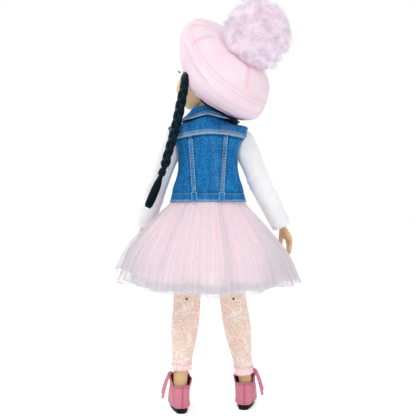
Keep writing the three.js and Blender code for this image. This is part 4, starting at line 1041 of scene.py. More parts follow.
def jacket_front(side):
    """One front panel with its placket, yoke, seam and flap pocket, all guessed from the back."""
    rows, columns = 101, 51
    grid = []
    for level in np.linspace(JACKET_LOW, JACKET_TOP, rows):
        inner, outer = angle_at_x(level, PLACKET_IN), angle_at_y(level, -0.15)
        if ARMHOLE - ARMHOLE_HALF < level < ARMHOLE + ARMHOLE_HALF:
            outer = -min(angle_at_x(level, 28 + 6 * (1 - armhole(level))), math.pi / 2)
        grid.append(jacket_row(level, outer, -inner, columns))
    points = np.array(grid)
    if side < 0:
        points = points[:, ::-1] * vec(-1, 1, 1)
    out = normals(points, False)
    out = out * np.sign((out * vec(0, -1, 0)).sum(-1).mean())
    x, z = np.abs(points[..., 0]), points[..., 2]
    from_pocket = np.abs(x - POCKET_X)
    height = 0.5 * step(z, FRONT_YOKE - 0.2, FRONT_YOKE + 0.8)
    wear_shade_tone = 0.9 * bell(z - FRONT_YOKE, 0.9)
    height = height + 0.4 * step(PLACKET_OUT - x, -0.3, 0.4)
    wear_shade_tone = wear_shade_tone + 0.6 * bell(x - PLACKET_IN - 0.5, 0.7) + 0.35 * bell(x - PLACKET_OUT - 0.4, 0.7)
    height = height + 0.5 * step(HEM_STITCH - z, -0.3, 0.5)
    wear_shade_tone = wear_shade_tone + 0.55 * bell(z - HEM_FOLD, 0.8)
    inside = step(POCKET_HALF - from_pocket, 0, 0.5) * step(z, POCKET_LOW, POCKET_LOW + 0.8)
    inside = inside * step(POCKET_TOP - z, 0, 0.6)
    lid = step(LID_HALF - from_pocket, 0, 0.5) * step(z - LID_LOW - LID_RISE * from_pocket, 0, 0.6)
    lid = lid * step(POCKET_TOP + 0.3 - z, 0, 0.6)
    height = height + 0.35 * inside + 0.55 * lid
    wear_shade_tone = wear_shade_tone + 2.0 * (inside - inside**2) + 2.0 * (lid - lid**2)
    seam = np.abs(x - front_seam_x(z))
    below = step(FRONT_SEAM_TOP - z, 0, 1)
    height = height + 0.3 * bell(seam, 1.4) * below * (1 - inside)
    wear_shade_tone = wear_shade_tone + 0.4 * bell(seam, 1.0) * below * (1 - inside)
    height = height + 0.25 * soft_noise(x / 6, z / 8, 31 + side) + 0.18 * soft_noise(x / 3, z / 4, 33 + side)
    points = points + out * height[..., None]
    sign = np.sign((normals(points, False) * out).sum(-1).mean())
    word = "left" if side > 0 else "right"
    build = Build().shell(points, CLOTH, False, (0.045, 0.083), np.clip(wear_shade_tone, 0, 1), sign)
    finish_piece(build.object(f"jacket_{word}_front", denim), "torso", f"vest_{word}_front")
    pale = Build()

    def upward(x_of_level, low, high, width):
        line = line_by_level(points, out, lambda z: side * x_of_level(z), low, high)
        stitches(pale, *line, width=width)

    def sideways(level_of_x, low, high, width):
        stitches(pale, *line_by_x(points, out, level_of_x, side * low, side * high), width=width)

    for place in (5.6, 10.4):
        upward(lambda z: place, 204.5, 280, 0.5)
    for level in (FRONT_YOKE + 1.1, FRONT_YOKE + 2.6):
        sideways(lambda x: level, 11.5, 27, 0.5)
    for level in (HEM_STITCH, EDGE_STITCH):
        sideways(lambda x: level, 5, 33, 0.5)
    sideways(lambda x: LID_LOW + 1.2 + LID_RISE * abs(abs(x) - POCKET_X), 13.4, 27.6, 0.45)
    for place in (13.6, 27.4):
        upward(lambda z: place, POCKET_LOW + 1, LID_LOW + 2, 0.45)
    sideways(lambda x: POCKET_LOW + 1.0, 13.6, 27.4, 0.45)
    for shift in (-1.0, 1.0):
        upward(lambda z: front_seam_x(z) + shift, 205, 237, 0.45)
    finish_piece(pale.object(f"jacket_{word}_stitches", thread), "torso")


def jacket_top(x, y):
    """The level where the jacket's surface passes over a place."""
    levels = np.linspace(262, JACKET_TOP, 97)
    width, front, back = jacket_size(levels, CLOTH)
    reach = (abs(x) / width) ** JACKET_POWER + (abs(y) / (back if y > 0 else front)) ** JACKET_POWER
    inside = levels[reach <= 1]
    return float(inside[-1]) if len(inside) else float(levels[0])


def jacket_collar():
    """The collar as sections swept round the neck: it stands, rolls over and lies on the jacket."""
    foot, top = COLLAR_FOOT, COLLAR_TOP
    turns = COLLAR_ARC * (np.arange(COLLAR_STEPS + 1) / COLLAR_STEPS - 0.5)
    spreads = collar_spread(turns)
    rests = [max(jacket_top(r * math.sin(t), r * math.cos(t)) for r in (s, s - 1.5))
             for t, s in zip(turns, spreads)]
    lows = np.maximum(collar_low(turns), np.array(rests) + 0.6)
    weights = np.hanning(21)[1:-1]
    lows = np.convolve(np.pad(lows, 9, mode="edge"), weights / weights.sum(), "valid")
    sections, collar_tones = [], []
    roll = top - 1
    for turn, spread, low in zip(turns, spreads, lows):
        outline = [
            [11.9, foot], [12.3, top - 1.2], [13.0, top], [14.2, top + 0.35], [15.4, roll],
            [15.4 + (spread - 15.4) * 0.45, roll - (roll - low) * 0.42], [spread - 0.2, low + 1.7],
            [spread, low + 0.7], [spread - 0.7, low], [spread - 1.5, low + 0.7],
            [15.0 + (spread - 15.0) * 0.4, roll - 2.2 - (roll - low) * 0.4], [14.3, roll - 3.1],
            [13.6, foot + 1.5], [12.9, foot],
        ]
        dense = curve_through(np.array(outline, float), 72, True)
        wave = 0.25 * math.sin(turn * 5) + 0.15 * math.sin(turn * 11 + 1)
        r = dense[:, 0]
        z = dense[:, 1] + wave * step(r, 14, 20)
        sections.append(np.stack([r * math.sin(turn), r * math.cos(turn), z], 1))
        from_edge = np.hypot(r - spread, z - low - 0.4)
        # Pale along the outer edge and the top of the roll, and darker in a band 4.6 mm in from the edge
        collar_tones.append(np.clip(1.2 * bell(from_edge, 0.8) + 0.35 * bell(z - top - 0.3, 0.8), 0, 1)
                     - 0.5 * bell(from_edge - 4.6, 0.7))
    points = np.array(sections)
    build = Build().grid(closed(points), True, (0.05, 0.12), np.array([collar_tones[0], *collar_tones, collar_tones[-1]]))
    finish_piece(build.object("jacket_collar", denim), "torso", "vest_collar")
    rows = Build()
    middle = points[COLLAR_STEPS // 2]
    outer = int(np.argmax(middle[:, 1]))
    length = np.cumsum(np.linalg.norm(np.diff(middle, axis=0), axis=1))
    for back_off in (1.5, 3.0):
        column = int(np.argmin(np.abs(length - (length[outer] - back_off))))
        line = points[2:-2, column]
        out = normals(points, True)[2:-2, column]
        out = out * np.sign((out * (line * vec(1, 1, 0))).sum(-1).mean())
        stitches(rows, line, out, width=0.6, lift=0.15)
    finish_piece(rows.object("jacket_collar_stitches", thread), "torso")


def jacket_buttons():
    """Four metal buttons down the front."""
    angle = circle(32)
    for index, level in enumerate(JACKET_LOW + (np.arange(BUTTONS) + 0.6) * 15.25):
        width, front, _ = jacket_size(level)
        y = -float(front) * (1 - (BUTTON_X / float(width)) ** JACKET_POWER) ** (1 / JACKET_POWER)
        x = -BUTTON_X + BUTTON_RADII[:, None] * np.cos(angle)
        z = level + BUTTON_RADII[:, None] * np.sin(angle)
        depth = y - 1.1 - BUTTON_HEIGHTS[:, None] * np.ones(32)
        made = Build().grid(np.stack([x, depth, z], 2)).object(f"button_{index + 1}", brass)
        finish_piece(made, "torso", f"vest_button_{index + 1}")


back_points, back_out = jacket_back()
jacket_back_stitches(back_points, back_out)
for side in (1, -1):
    jacket_front(side)
jacket_collar()
jacket_buttons()


# White top

KNIT = 0.7
# A sleeve's radius by its share of length, and its folds: middle, spread and number
SLEEVE_RADII = np.array([[0, 5.5], [0.035, 9.0], [0.08, 10.9], [0.16, 11.6], [0.35, 11.1], [0.5, 10.9],
                         [0.62, 10.9], [0.75, 10.8], [0.88, 10.2], [0.97, 9.3], [1.0, 9.1]])
SLEEVE_FOLDS = ((0.56, 0.13, 9), (0.9, 0.08, 6), (0.2, 0.12, 4))
CUFF, BLEND_HALF = 6.4, 7


def shirt_body():
    """The body of the white top, under the jacket."""
    levels = np.linspace(PELVIS, NECK, 90)
    angle = circle(120)
    grid = []
    for level in levels:
        x, y = oval(*trunk_size(level, 1.1), angle, TRUNK_POWER)
        grid.append(level_ring(x, y, level))
    points = np.array(grid)
    out = normals(points)
    u, v = np.meshgrid(angle, levels)
    ripple = 0.22 * soft_noise(u * 5, v / 6, 41) * step(v, PELVIS, PELVIS + 6)
    rib = 0.35 * step(v, 282.6, 283.2)
    points = points + out * (ripple + rib)[..., None]
    made = Build().shell(points, KNIT, True, (0.16, 0.08)).object("shirt_body_cloth", cotton)
    finish_piece(made, "torso", "shirt_body")


def joint_blend(parent, child, joint, before, after):
    """A blend from one body to the next, between two points either side of their joint."""
    ends = [joint + BLEND_HALF * unit(place - joint) for place in (before, after)]
    return (parent, child, *(tuple(end * MM) for end in ends))


def sleeve(word):
    """A sleeve that bends at the elbow, with folds that crowd there and at the cuff."""
    side, shoulder, elbow, wrist = SIDES[word].values()
    upper, lower = elbow - shoulder, wrist - elbow
    guide = [shoulder - 0.17 * upper, shoulder, shoulder + 0.45 * upper, shoulder + 0.85 * upper,
             elbow + 0.02 * upper + 0.08 * lower, elbow + 0.35 * lower, elbow + 0.7 * lower,
             elbow + 0.985 * lower]
    count, sides = 150, 72
    path = curve_through(guide, count)
    along = np.linspace(0, 1, count)
    radius = smooth(along, *SLEEVE_RADII.T)
    angle = circle(sides)
    a, v = np.meshgrid(angle, along)
    length = np.linalg.norm(upper) * 1.17 + np.linalg.norm(lower)
    z = v * length
    draw = np.random.default_rng(60 + side)
    folds = np.zeros_like(a)
    for centre, spread, number in SLEEVE_FOLDS:
        for _ in range(number):
            at = (centre + draw.normal(0, spread)) * length
            where = draw.uniform(0, 2 * math.pi)
            slant = draw.uniform(-5, 5)
            tall = draw.uniform(0.25, 0.75)
            wide = draw.uniform(0.5, 1.1)
            swing = turned_by(a, where)
            folds += tall * bell(z - at - slant * swing, draw.uniform(1.4, 2.8)) * bell(swing, wide)
    folds += 0.35 * soft_noise(a * 2.2, z / 9, 70 + side) - 0.35
    cuff = step(z, length - CUFF + 0.2, length - CUFF + 0.8)
    folds = folds * (1 - 0.75 * step(z, length - 9, length - 5)) + 0.25 * cuff
    folds -= 0.35 * bell(z - (length - CUFF), 0.5)
    folds *= step(v, 0.02, 0.1)
    points = sweep(path, radius[:, None] + folds, sides)
    made = Build().shell(points[::-1], KNIT, True, (0.07, 0.11)).object(f"{word}_sleeve_cloth", cotton)
    blend = joint_blend(f"{word}_upper_arm", f"{word}_forearm", elbow, shoulder, wrist)
    finish_piece(made, None, f"{word}_sleeve", blend)
    rows = Build()
    line = looped(points[count - 8])
    stitches(rows, line, unit(line - path[count - 8]), 1.5, 2.1, 0.35, 0.05)
    finish_piece(rows.object(f"{word}_cuff_stitches", cotton), f"{word}_forearm")


shirt_body()
for word in SIDES:
    sleeve(word)


# Head


def moved(points, matrix):
    """Points of any grid through a matrix."""
    points = np.asarray(points, float)
    turn = np.array(matrix)[:3, :3]
    return points @ turn.T + np.array(matrix)[:3, 3]


HEAD_TALL, HEAD_WIDE, HEAD_DEEP, HEAD_AHEAD, HEAD_POWER = 71, 28.5, 30, 3, 2.15
# Head rows: share of height, width, front, back
HEAD = np.array(
    [
        [0, 0.2, 0.66, -0.2],
        [0.04, 0.42, 0.82, 0.1],
        [0.12, 0.66, 0.93, 0.4],
        [0.22, 0.88, 0.98, 0.66],
        [0.33, 0.97, 0.96, 0.84],
        [0.46, 0.92, 0.91, 0.94],
        [0.6, 0.88, 0.9, 0.97],
        [0.72, 0.85, 0.87, 0.95],
        [0.83, 0.76, 0.78, 0.86],
        [0.92, 0.62, 0.59, 0.68],
        [0.98, 0.32, 0.3, 0.36],
        [1, 0.06, 0.06, 0.06],
    ]
)
# The head is turned to its left and tipped a little, on top of the neck
HEAD_TIP, HEAD_TURN, CHIN_LEVEL = -6, 46, 295
head_turn = Euler((0, math.radians(HEAD_TIP), math.radians(HEAD_TURN)), "XYZ")
head_matrix = Matrix.Translation(Vector((0, 0, CHIN_LEVEL))) @ head_turn.to_matrix().to_4x4()
EYE_X, EYE_Z, EYE_WIDE, EYE_TALL, EYE_SLANT = 11.5, 32.0, 6.3, 3.9, 0.16
EYE_RADIUS = 8.2
EAR_X, EAR_Z, EAR_HALF, EAR_TALL = 27.6, 25, 3.6, 6.2
LASHES, LOW_LASHES, WISPS = 34, 16, 70
# Face levels: brow arch, nose tip, parting of the lips and chin
BROW_Z, NOSE_Z, LIPS_Z, CHIN_Z = 40.6, 20.8, 13.2, 4.6


def head_size(shares):
    """Half width, front depth and back depth of the head at shares of its height."""
    sizes = (HEAD_WIDE, HEAD_DEEP, HEAD_DEEP)
    return [smooth(shares, HEAD[:, 0], HEAD[:, k + 1]) * size for k, size in enumerate(sizes)]


def head_grid(shares, columns, extra=0.0):
    """Points over the head in its own frame: shares is one height a row, or one a row and column."""
    shares = np.asarray(shares, float)
    if shares.ndim < 2:
        shares = np.repeat(shares[:, None], columns, 1)
    angle = np.broadcast_to(circle(columns), shares.shape)
    width, front, back = head_size(shares)
    side = squared(np.cos(angle), HEAD_POWER) * (width + extra)
    rear = squared(np.sin(angle), HEAD_POWER)
    depth = rear * (np.where(rear > 0, back, front) + extra)
    top = shares * HEAD_TALL + extra * step(shares, 0.85, 1)
    return np.stack([side, depth - HEAD_AHEAD, top], 2), angle


def face_relief(x, z):
    """How far the face stands out, and its masks, from places across and up it."""
    a = np.abs(x)
    # The eye's opening is where e is below 1
    e = ((a - EYE_X) / EYE_WIDE) ** 2 + ((z - EYE_Z - EYE_SLANT * (a - EYE_X)) / EYE_TALL) ** 2
    out = -1.5 * bell(a - EYE_X + 1, 8.5) * bell(z - 33.5, 7) - 2.4 * bell(a - 21, 6) * bell(z - 33, 6.5)
    out = out - 2.6 * step(1.12 - e, 0, 0.26)
    out = out + 0.75 * bell(e - 1.35, 0.3) * step(z, 29, 33) + 0.35 * bell(e - 1.35, 0.3)
    out = out - 0.35 * bell(e - 2.3, 0.35) * step(z, 33, 36)
    out = out + 0.6 * bell(z - 40, 3.2) * bell(a - 9, 8)
    # Nose, lips, chin and cheeks
    bridge = smooth(z, [16, 18.6, 20.2, 22.2, 24.5, 29, 34, 40], [0, 0.4, 3.0, 4.7, 3.6, 1.9, 1.0, 0.2])
    inside = (z > 16) & (z < 40)
    out = out + np.where(inside, bridge, 0) * bell(x, 2.6)
    out = out + 1.5 * bell(a - 3.0, 1.5) * bell(z - NOSE_Z, 1.7)
    out = out - 0.9 * bell(a - 1.7, 0.8) * bell(z - 19.2, 0.7)
    out = out + 1.3 * bell(x, 9) * bell(z - 12.5, 6)
    bow = 14.9 + 0.55 * bell(a - 1.7, 1.1) - 0.25 * bell(a, 0.8) - 0.055 * a**1.5
    low = 10.9 + 0.06 * a**1.8
    parting = LIPS_Z + 0.02 * a**1.6
    width = step(6.6 - a, 0, 1.6)
    upper = step(bow + 0.5 - z, 0, 0.9) * step(z - parting, 0, 0.5) * width
    lower = step(z - low + 0.4, 0, 1.0) * step(parting - z, 0, 0.5) * width
    out = out + 1.25 * upper * (1 - 0.3 * bell(a, 0.7)) + 1.5 * lower - 0.8 * bell(z - parting, 0.35) * width
    out = out - 0.5 * bell(x, 0.9) * bell(z - 17.2, 1.6) - 0.7 * bell(z - 8.7, 1.3) * bell(x, 5)
    out = out + 1.3 * bell(x, 5.5) * bell(z - CHIN_Z, 3.2) + 1.9 * bell(a - 15.5, 7.5) * bell(z - 17.5, 6.5)
    lips = np.clip(upper + lower, 0, 1)
    arch = BROW_Z + 2.3 * np.sin(np.clip((a - 4.5) / 14, 0, 1) * math.pi * 0.8)
    arch = arch - 0.06 * np.clip(a - 13, 0, 9) ** 2
    thick = 0.85 * step(a, 3.6, 6) * step(19.8 - a, 0, 9) + 0.12
    brow = bell(z - arch, thick) ** 2 * step(a, 4.2, 5.4) * step(19.5 - a, 0, 1.5)
    blush = 0.9 * bell(a - 15.5, 6) * bell(z - 20, 5.5) + 0.35 * bell(z - 37, 2.4) * bell(a - 12, 6)
    return out, {"lips": lips, "brow": brow * 0.9, "blush": blush}


def extra_attribute(made, name, values):
    """A named number for every point of a mesh."""
    kept = made.data.attributes.new(name, "FLOAT", "POINT")
    kept.data.foreach_set("value", values.astype(np.float32).ravel())


def head():
    """The head's skin, with the face painted on by point attributes."""
    rows, columns = ((230, 400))
    below = int(rows * 0.8)
    shares = np.concatenate([np.linspace(0, 0.72, below), np.linspace(0.72, 1, rows - below + 1)[1:]])
    points, angle = head_grid(shares, columns)
    out = normals(points)
    front = step(-np.sin(angle), 0.0, 0.25)
    relief, masks = face_relief(points[..., 0], points[..., 2])
    points = points + (relief * front)[..., None] * out
    low = np.broadcast_to(points[0].mean(0) + vec(0, 0, 0.3), points[0].shape)[None]
    high = np.broadcast_to(points[-1].mean(0) + vec(0, 0, 0.2), points[0].shape)[None]
    points = np.concatenate([low, points, high])
    build = Build().grid(moved(points, head_matrix), True, (0.18, 0.07))
    made = build.object("head_skin", skin, weld=False)
    for name, values in masks.items():
        extra_attribute(made, name, np.pad(values * front, ((1, 1), (0, 0))))
    finish_piece(made, "head", "head")


def face_point(x, z, extra=0.0):
    """Where the undimpled face stands at a place across and up it."""
    width, front, _ = head_size(np.asarray(z, float) / HEAD_TALL)
    depth = front * (1 - np.abs(np.asarray(x, float) / width) ** HEAD_POWER) ** (1 / HEAD_POWER)
    return np.stack(np.broadcast_arrays(x, -depth - HEAD_AHEAD - extra, z), -1)


def eye(word, side):
    """An eyeball whose iris and pupil are painted by the angle from its middle."""
    centre = face_point(vec(side * EYE_X), vec(EYE_Z), -EYE_RADIUS - 0.1)[0]
    face = unit(vec(side * 0.30, -1, -0.02))
    turn = Vector((0, 0, 1)).rotation_difference(Vector(face)).to_matrix().to_4x4()
    turn = Matrix.Translation(Vector(centre)) @ turn
    polar = np.linspace(0, 1, 60) ** 1.2 * 1.25
    angle = circle(64)
    bulge = (EYE_RADIUS + 0.35 * step(0.46 - polar, 0, 0.15))[:, None]
    wide, high = bulge * np.sin(polar)[:, None], bulge * np.cos(polar)[:, None]
    points = np.stack([wide * np.cos(angle), wide * np.sin(angle), high * np.ones(64)], 2)
    back = np.broadcast_to(vec(0, 0, points[-1, 0, 2] - 2.0), points[0].shape)[None]
    points = np.concatenate([points, back])
    build = Build().grid(moved(moved(points, turn), head_matrix))
    made = build.object(f"{word}_eye_ball", eye_paint, weld=False)
    spread = np.concatenate([polar, [1.4]])[:, None] * np.ones(64)
    extra_attribute(made, "spread", spread)
    extra_attribute(made, "round", np.broadcast_to(angle, spread.shape))
    finish_piece(made, "head", f"{word}_eye")


def lid_place(side, turn, size, extra):
    """A place on the lid's rim in the head's frame, and how far out it is."""
    x = EYE_X + EYE_WIDE * size * math.cos(turn)
    z = EYE_Z + EYE_SLANT * (x - EYE_X) + EYE_TALL * size * math.sin(turn)
    return face_point(vec(side * x), vec(z), extra)[0], (x - EYE_X) / EYE_WIDE


def lash_line(word, side):
    """A band of upper lashes and a row of short lower ones, each a curved tapering hair."""
    build = Build()
    draw = np.random.default_rng(90 + side)
    rim = []
    for turn in np.linspace(0.06, 0.97, LASHES) * math.pi:
        root, outer = lid_place(side, turn, 1.02, 0.15)
        rim.append(root)
        reach = (2.4 + 0.9 * step(outer, -0.6, 0.9)) * draw.uniform(0.9, 1.1)
        fan = unit(vec(side * (0.4 * outer + 0.1), -1.0, 0.12))
        share = np.linspace(0, 1, 7)
        path = root + share[:, None] * reach * fan + (share**2)[:, None] * vec(0, 0, 0.36 * reach)
        build.tube(moved(path, head_matrix), 0.2 * (1 - 0.85 * share), 5)
    thick = 0.34 * np.sin(np.linspace(0.25, math.pi - 0.25, LASHES)) + 0.05
    build.tube(moved(rim, head_matrix), thick, 6)
    for turn in np.linspace(1.12, 1.88, LOW_LASHES) * math.pi:
        root, outer = lid_place(side, turn, 1.0, 0.1)
        share = np.linspace(0, 1, 4)
        path = root + share[:, None] * 1.1 * unit(vec(side * 0.4 * outer, -1, -0.7))
        build.tube(moved(path, head_matrix), 0.1 * (1 - 0.8 * share), 4)
    finish_piece(build.object(f"{word}_lash_hairs", lash_paint), "head", f"{word}_eyelashes")


def ears():
    """Both ears, under the hair: a rim, a bowl and a lobe."""
    build = Build()
    for side in (-1, 1):
        centre = vec(side * EAR_X, 0.5, EAR_Z)
        angle = np.linspace(-0.35 * math.pi, 1.25 * math.pi, 26)
        y, z = EAR_HALF * np.cos(angle) * (1 + 0.15 * np.sin(angle)), EAR_TALL * np.sin(angle)
        lean = np.stack([side * (1.2 + 1.5 * np.clip(y, -1, EAR_HALF) / EAR_HALF), y, z], 1)
        width = 1.25 * np.sin(np.linspace(0.35, math.pi - 0.35, 26)) ** 0.6
        build.tube(moved(centre + lean, head_matrix), width, 10)
        bowl = []
        for share in np.linspace(0.02, 1, 9):
            ring = []
            for t in circle(24):
                y, z = 3.5 * share * math.cos(t), 5.7 * share * math.sin(t) - 0.3
                deep = 0.2 + 1.3 * share**2 + 1.2 * (y / 3.5) * share
                ring.append(centre + vec(side * deep, y, z))
            bowl.append(ring)
        build.shell(moved(np.array(bowl), head_matrix), 1.6, True, sign=side)
        lobe = [centre + vec(side * (0.9 + 0.1 * k), -0.6 - 0.25 * k, -5.2 - 0.55 * k) for k in range(4)]
        build.tube(moved(np.array(lobe), head_matrix), vec(1.5, 1.7, 1.5, 0.6), 10)
    finish_piece(build.object("ears", skin), "head")


def hairline(y):
    """The level of the hairline by the depth from the face to the nape."""
    return np.interp(y, [-33, -27, -19, -10, -3, 2, 5, 9, 16, 28], [58, 57, 50, 37, 29, 23, 12, 6, 4, 3])


def hair_cap():
    """The combed hair under the beret, parted down the back, and loose wisps along the hairline."""
    rows, columns = 90, 420
    angle = circle(columns)
    base, _ = head_grid(np.full(2, 0.5), columns)
    start = hairline(base[0, :, 1]) / HEAD_TALL
    start = start + 0.006 * np.sin(angle * 31) + 0.005 * np.sin(angle * 57 + 1)
    share = start + (1 - start) * (np.linspace(0, 1, rows) ** 0.85)[:, None]
    points, wide = head_grid(share, columns)
    out = normals(points)
    rise = (share - start) * HEAD_TALL
    strands = 0.28 * np.sin(wide * 95 + 2.2 * np.sin(rise / 9)) + 0.18 * np.sin(wide * 160 + rise / 5)
    clumps = 0.35 * soft_noise(wide * 9, rise / 40, 101)
    groove = 1.1 * bell(np.sin((wide - math.pi / 2) / 2) * 2 * 28, 0.9) * step(np.sin(wide), 0.2, 0.6)
    high = 0.25 + 2.3 * step(rise, 0, 6) + (strands + clumps) * step(rise, 0, 4) - groove
    outer = points + np.clip(high, 0.3, 3.2)[..., None] * out
    inner = points + 0.12 * out
    build = Build()
    build.grid(moved(outer, head_matrix), True, (0.18, 0.06))
    build.grid(moved(inner[::-1], head_matrix), True, (0.18, 0.06))
    build.grid(moved(np.stack([outer[0], inner[0]]), head_matrix), True, (0.18, 0.002))
    build.grid(moved(np.stack([outer[-1], inner[-1]]), head_matrix), True, (0.18, 0.002))
    finish_piece(build.object("hair_scalp", hair), "head", "hair_cap")
    wisps = Build()
    draw = np.random.default_rng(55)
    for _ in range(WISPS):
        side = draw.choice([-1, 1])
        y = draw.uniform(-26, 22)
        z = float(hairline(y)) + draw.uniform(0, 3)
        width = float(head_size(z / HEAD_TALL)[0])
        deep = HEAD_DEEP * (0.95 if y < 0 else 0.9)
        x = side * (width + 0.6) * math.sqrt(max(0.0, 1 - ((y + HEAD_AHEAD) / deep) ** 2))
        share = np.linspace(0, 1, 9)
        fall = draw.uniform(4, 9)
        bend = draw.uniform(-1.5, 2.5)
        away = x + side * (0.4 + 0.5 * np.sin(share * 3))
        path = np.stack([away, y + bend * share**1.5 + 1.2 * share, z + 3 - fall * share], 1)
        wisps.tube(moved(path, head_matrix), 0.13 * (1 - 0.7 * share), 4)
    finish_piece(wisps.object("hair_wisps", hair), "head")


# The way of the hair at the nape, from behind the left ear to over the right shoulder
NAPE_GUIDE = [(11, 16, 306.5), (7.4, 18.5, 301.5), (2.6, 19.8, 296), (-6.4, 20.2, 290.4),
              (-16.5, 18.6, 285.6), (-23.5, 14, 282.3), (-28, 8, 280.6), (-31, -2, 281.5)]
NAPE_LOCKS, FEED_LOCKS = 26, 14


def nape_hair():
    """Hair swept across the nape and over the right shoulder, and the lock that feeds the left braid."""
    guide = curve_through(np.array(NAPE_GUIDE, float), 90)
    share = np.linspace(0, 1, 90)
    full = np.sin(math.pi * np.clip(share * 0.94 + 0.03, 0, 1)) ** 0.5 * (0.5 + 0.5 * step(share, 0.55, 0.8))
    ahead = unit(np.gradient(guide, axis=0))
    across = unit(np.cross(ahead, vec(0, 0, 1)))
    up = np.cross(across, ahead)
    build = Build()
    draw = np.random.default_rng(88)
    for _ in range(NAPE_LOCKS):
        start = draw.uniform(0, 2 * math.pi)
        reach = 1.7 * math.sqrt(draw.uniform(0, 1))
        turn = start + draw.uniform(0.6, 1.6) * share
        round_it = np.cos(turn)[:, None] * across + np.sin(turn)[:, None] * up
        place = guide + (reach * full)[:, None] * round_it
        build.tube(place, 0.62 * full + 0.06, 7)
    for _ in range(FEED_LOCKS):
        begin = vec(8, 8, 322) + draw.normal(0, 2.2, 3)
        middle = vec(15, 16, 321) + draw.normal(0, 1.5, 3)
        end = vec(20.5, 23.5, 318) + draw.normal(0, 1.0, 3)
        build.tube(curve_through(np.array([begin, middle, end]), 24), 1.15, 7)
    finish_piece(build.object("hair_nape", hair), "head")


# Where each braid starts, and how far it goes out, back and down
BRAIDS = {
    "left": {"out": 21, "back": 25, "level": 319, "reach": 37, "rear": -9, "drop": 122},
    "right": {"out": -27, "back": -28, "level": 312, "reach": 6, "rear": -5, "drop": 112},
}
# Braid and tassel rows: share of the drop, of the way out, of the way back, and of the radius
BRAID_ROWS = np.array([[0, 0, 0, 0.8], [0.2, 0.13, 0.12, 0.95], [0.42, 0.3, 0.27, 0.9],
                       [0.58, 0.46, 0.44, 0.85], [0.7, 0.58, 0.68, 0.75]])
TASSEL_ROWS = np.array([[0.735, 0.63, 0.76, 0.42], [0.82, 0.74, 0.85, 0.68], [0.92, 0.88, 0.94, 0.76],
                        [1, 1, 1, 0.66]])
BRAID_RADIUS, BRAID_PITCH = 5.4, 29.0
FLYAWAYS, TASSEL_HAIRS = 46, 150
BAND_RADIUS, BAND_THICK, BAND_TURNS = 2.95, 0.66, 5
# Where the hair that feeds each braid leaves the head
BRAID_ROOTS = {
    "left": [vec(10, 7, 334), vec(16.5, 14.5, 326)],
    "right": [vec(-13, -17, 338), vec(-21, -23, 326)],
}


def braid_route(word, rows, count):
    """The middle line and the thickness of a braid over some of its rows."""
    b = BRAIDS[word]
    share = np.linspace(rows[0, 0], rows[-1, 0], count)
    table = np.concatenate([BRAID_ROWS, TASSEL_ROWS])
    out, back, thick = [smooth(share, table[:, 0], table[:, k]) for k in (1, 2, 3)]
    x, y = b["out"] + out * b["reach"], b["back"] + back * b["rear"]
    return np.stack([x, y, b["level"] - share * b["drop"]], 1), thick * BRAID_RADIUS


def braid(word):
    """Three plaited strands fed by a lock from under the beret, loose hairs, a tassel and a tie."""
    path, thick = braid_route(word, BRAID_ROWS, 190)
    lock_path = curve_through(np.array([*BRAID_ROOTS[word], path[0], path[14], path[26]]), 40)
    thick = np.maximum(thick * 0.86, 2.9)
    along = travel_along(path)
    tangent, side, behind = frames(path, (1, 0, 0))
    build = Build()
    reach = thick * 0.60 * (1 - 0.42 * step(along, along[-1] - 7, along[-1]))
    around = circle(36)
    rough = 1 + 0.035 * np.sin(around * 13 + along[:, None] * 0.35)
    rough = rough + 0.025 * np.sin(around * 7 - along[:, None] * 0.2)
    for strand in range(3):
        turn = 2 * math.pi * (along / BRAID_PITCH + strand / 3)
        centre = path + (reach * np.sin(turn))[:, None] * side
        centre = centre + (0.36 * thick * np.sin(2 * turn))[:, None] * behind
        girth = reach * (0.92 + 0.1 * np.cos(2 * turn))
        build.tube(centre, girth[:, None] * rough, 36, True, (1, 0, 0), 0.86, size=(0.028, 0.1))
    around = circle(44)
    lie = np.linspace(0, 1, 40)[:, None]
    girth = 5.2 - 1.6 * lie**2 - 1.5 * step(lie, 0.8, 1)
    ropes = 1 + 0.06 * np.sin(around * 9 + 4 * lie) + 0.05 * np.sin(around * 17 + 2)
    build.tube(lock_path, girth * ropes, 44, True, (1, 0, 0), 0.8, size=(0.03, 0.04))
    draw = np.random.default_rng(120)
    for _ in range(FLYAWAYS):
        i = draw.integers(6, 180)
        share = np.linspace(0, 1, 8)
        way = unit(side[i] * draw.uniform(-1, 1) + behind[i] * draw.uniform(-1, 1) * 0.8)
        root = path[i] + way * thick[i] * 0.92
        fly = root + share[:, None] * tangent[i] * draw.uniform(3, 8)
        fly = fly + (share**1.5)[:, None] * way * draw.uniform(0.4, 1.6)
        build.tube(fly, 0.09 * (1 - 0.6 * share), 4)
    tassel(word, build, draw)
    finish_piece(build.object(f"{word}_braid_hair", hair), "head", f"{word}_braid")
    tie, _ = braid_route(word, np.array([[0.68, 0], [0.76, 0]]), 20)
    core = Build().tube(tie, np.linspace(2.7, 2.1, 20), 24).object(f"{word}_braid_core", hair)
    finish_piece(core, "head")
    turns = np.linspace(0, BAND_TURNS, 150)
    middle, direction = tie[10], unit(tie[12] - tie[8])
    _, across, rear = frames(np.array([middle - direction, middle, middle + direction]), (1, 0, 0))
    turn = 2 * math.pi * turns
    ring = BAND_RADIUS * (np.cos(turn)[:, None] * across[1] + np.sin(turn)[:, None] * rear[1])
    coil = middle + ring + (turns - BAND_TURNS / 2)[:, None] * direction
    made = Build().tube(coil, BAND_THICK, 8).object(f"{word}_braid_band", band)
    finish_piece(made, "head", f"{word}_braid_tie")


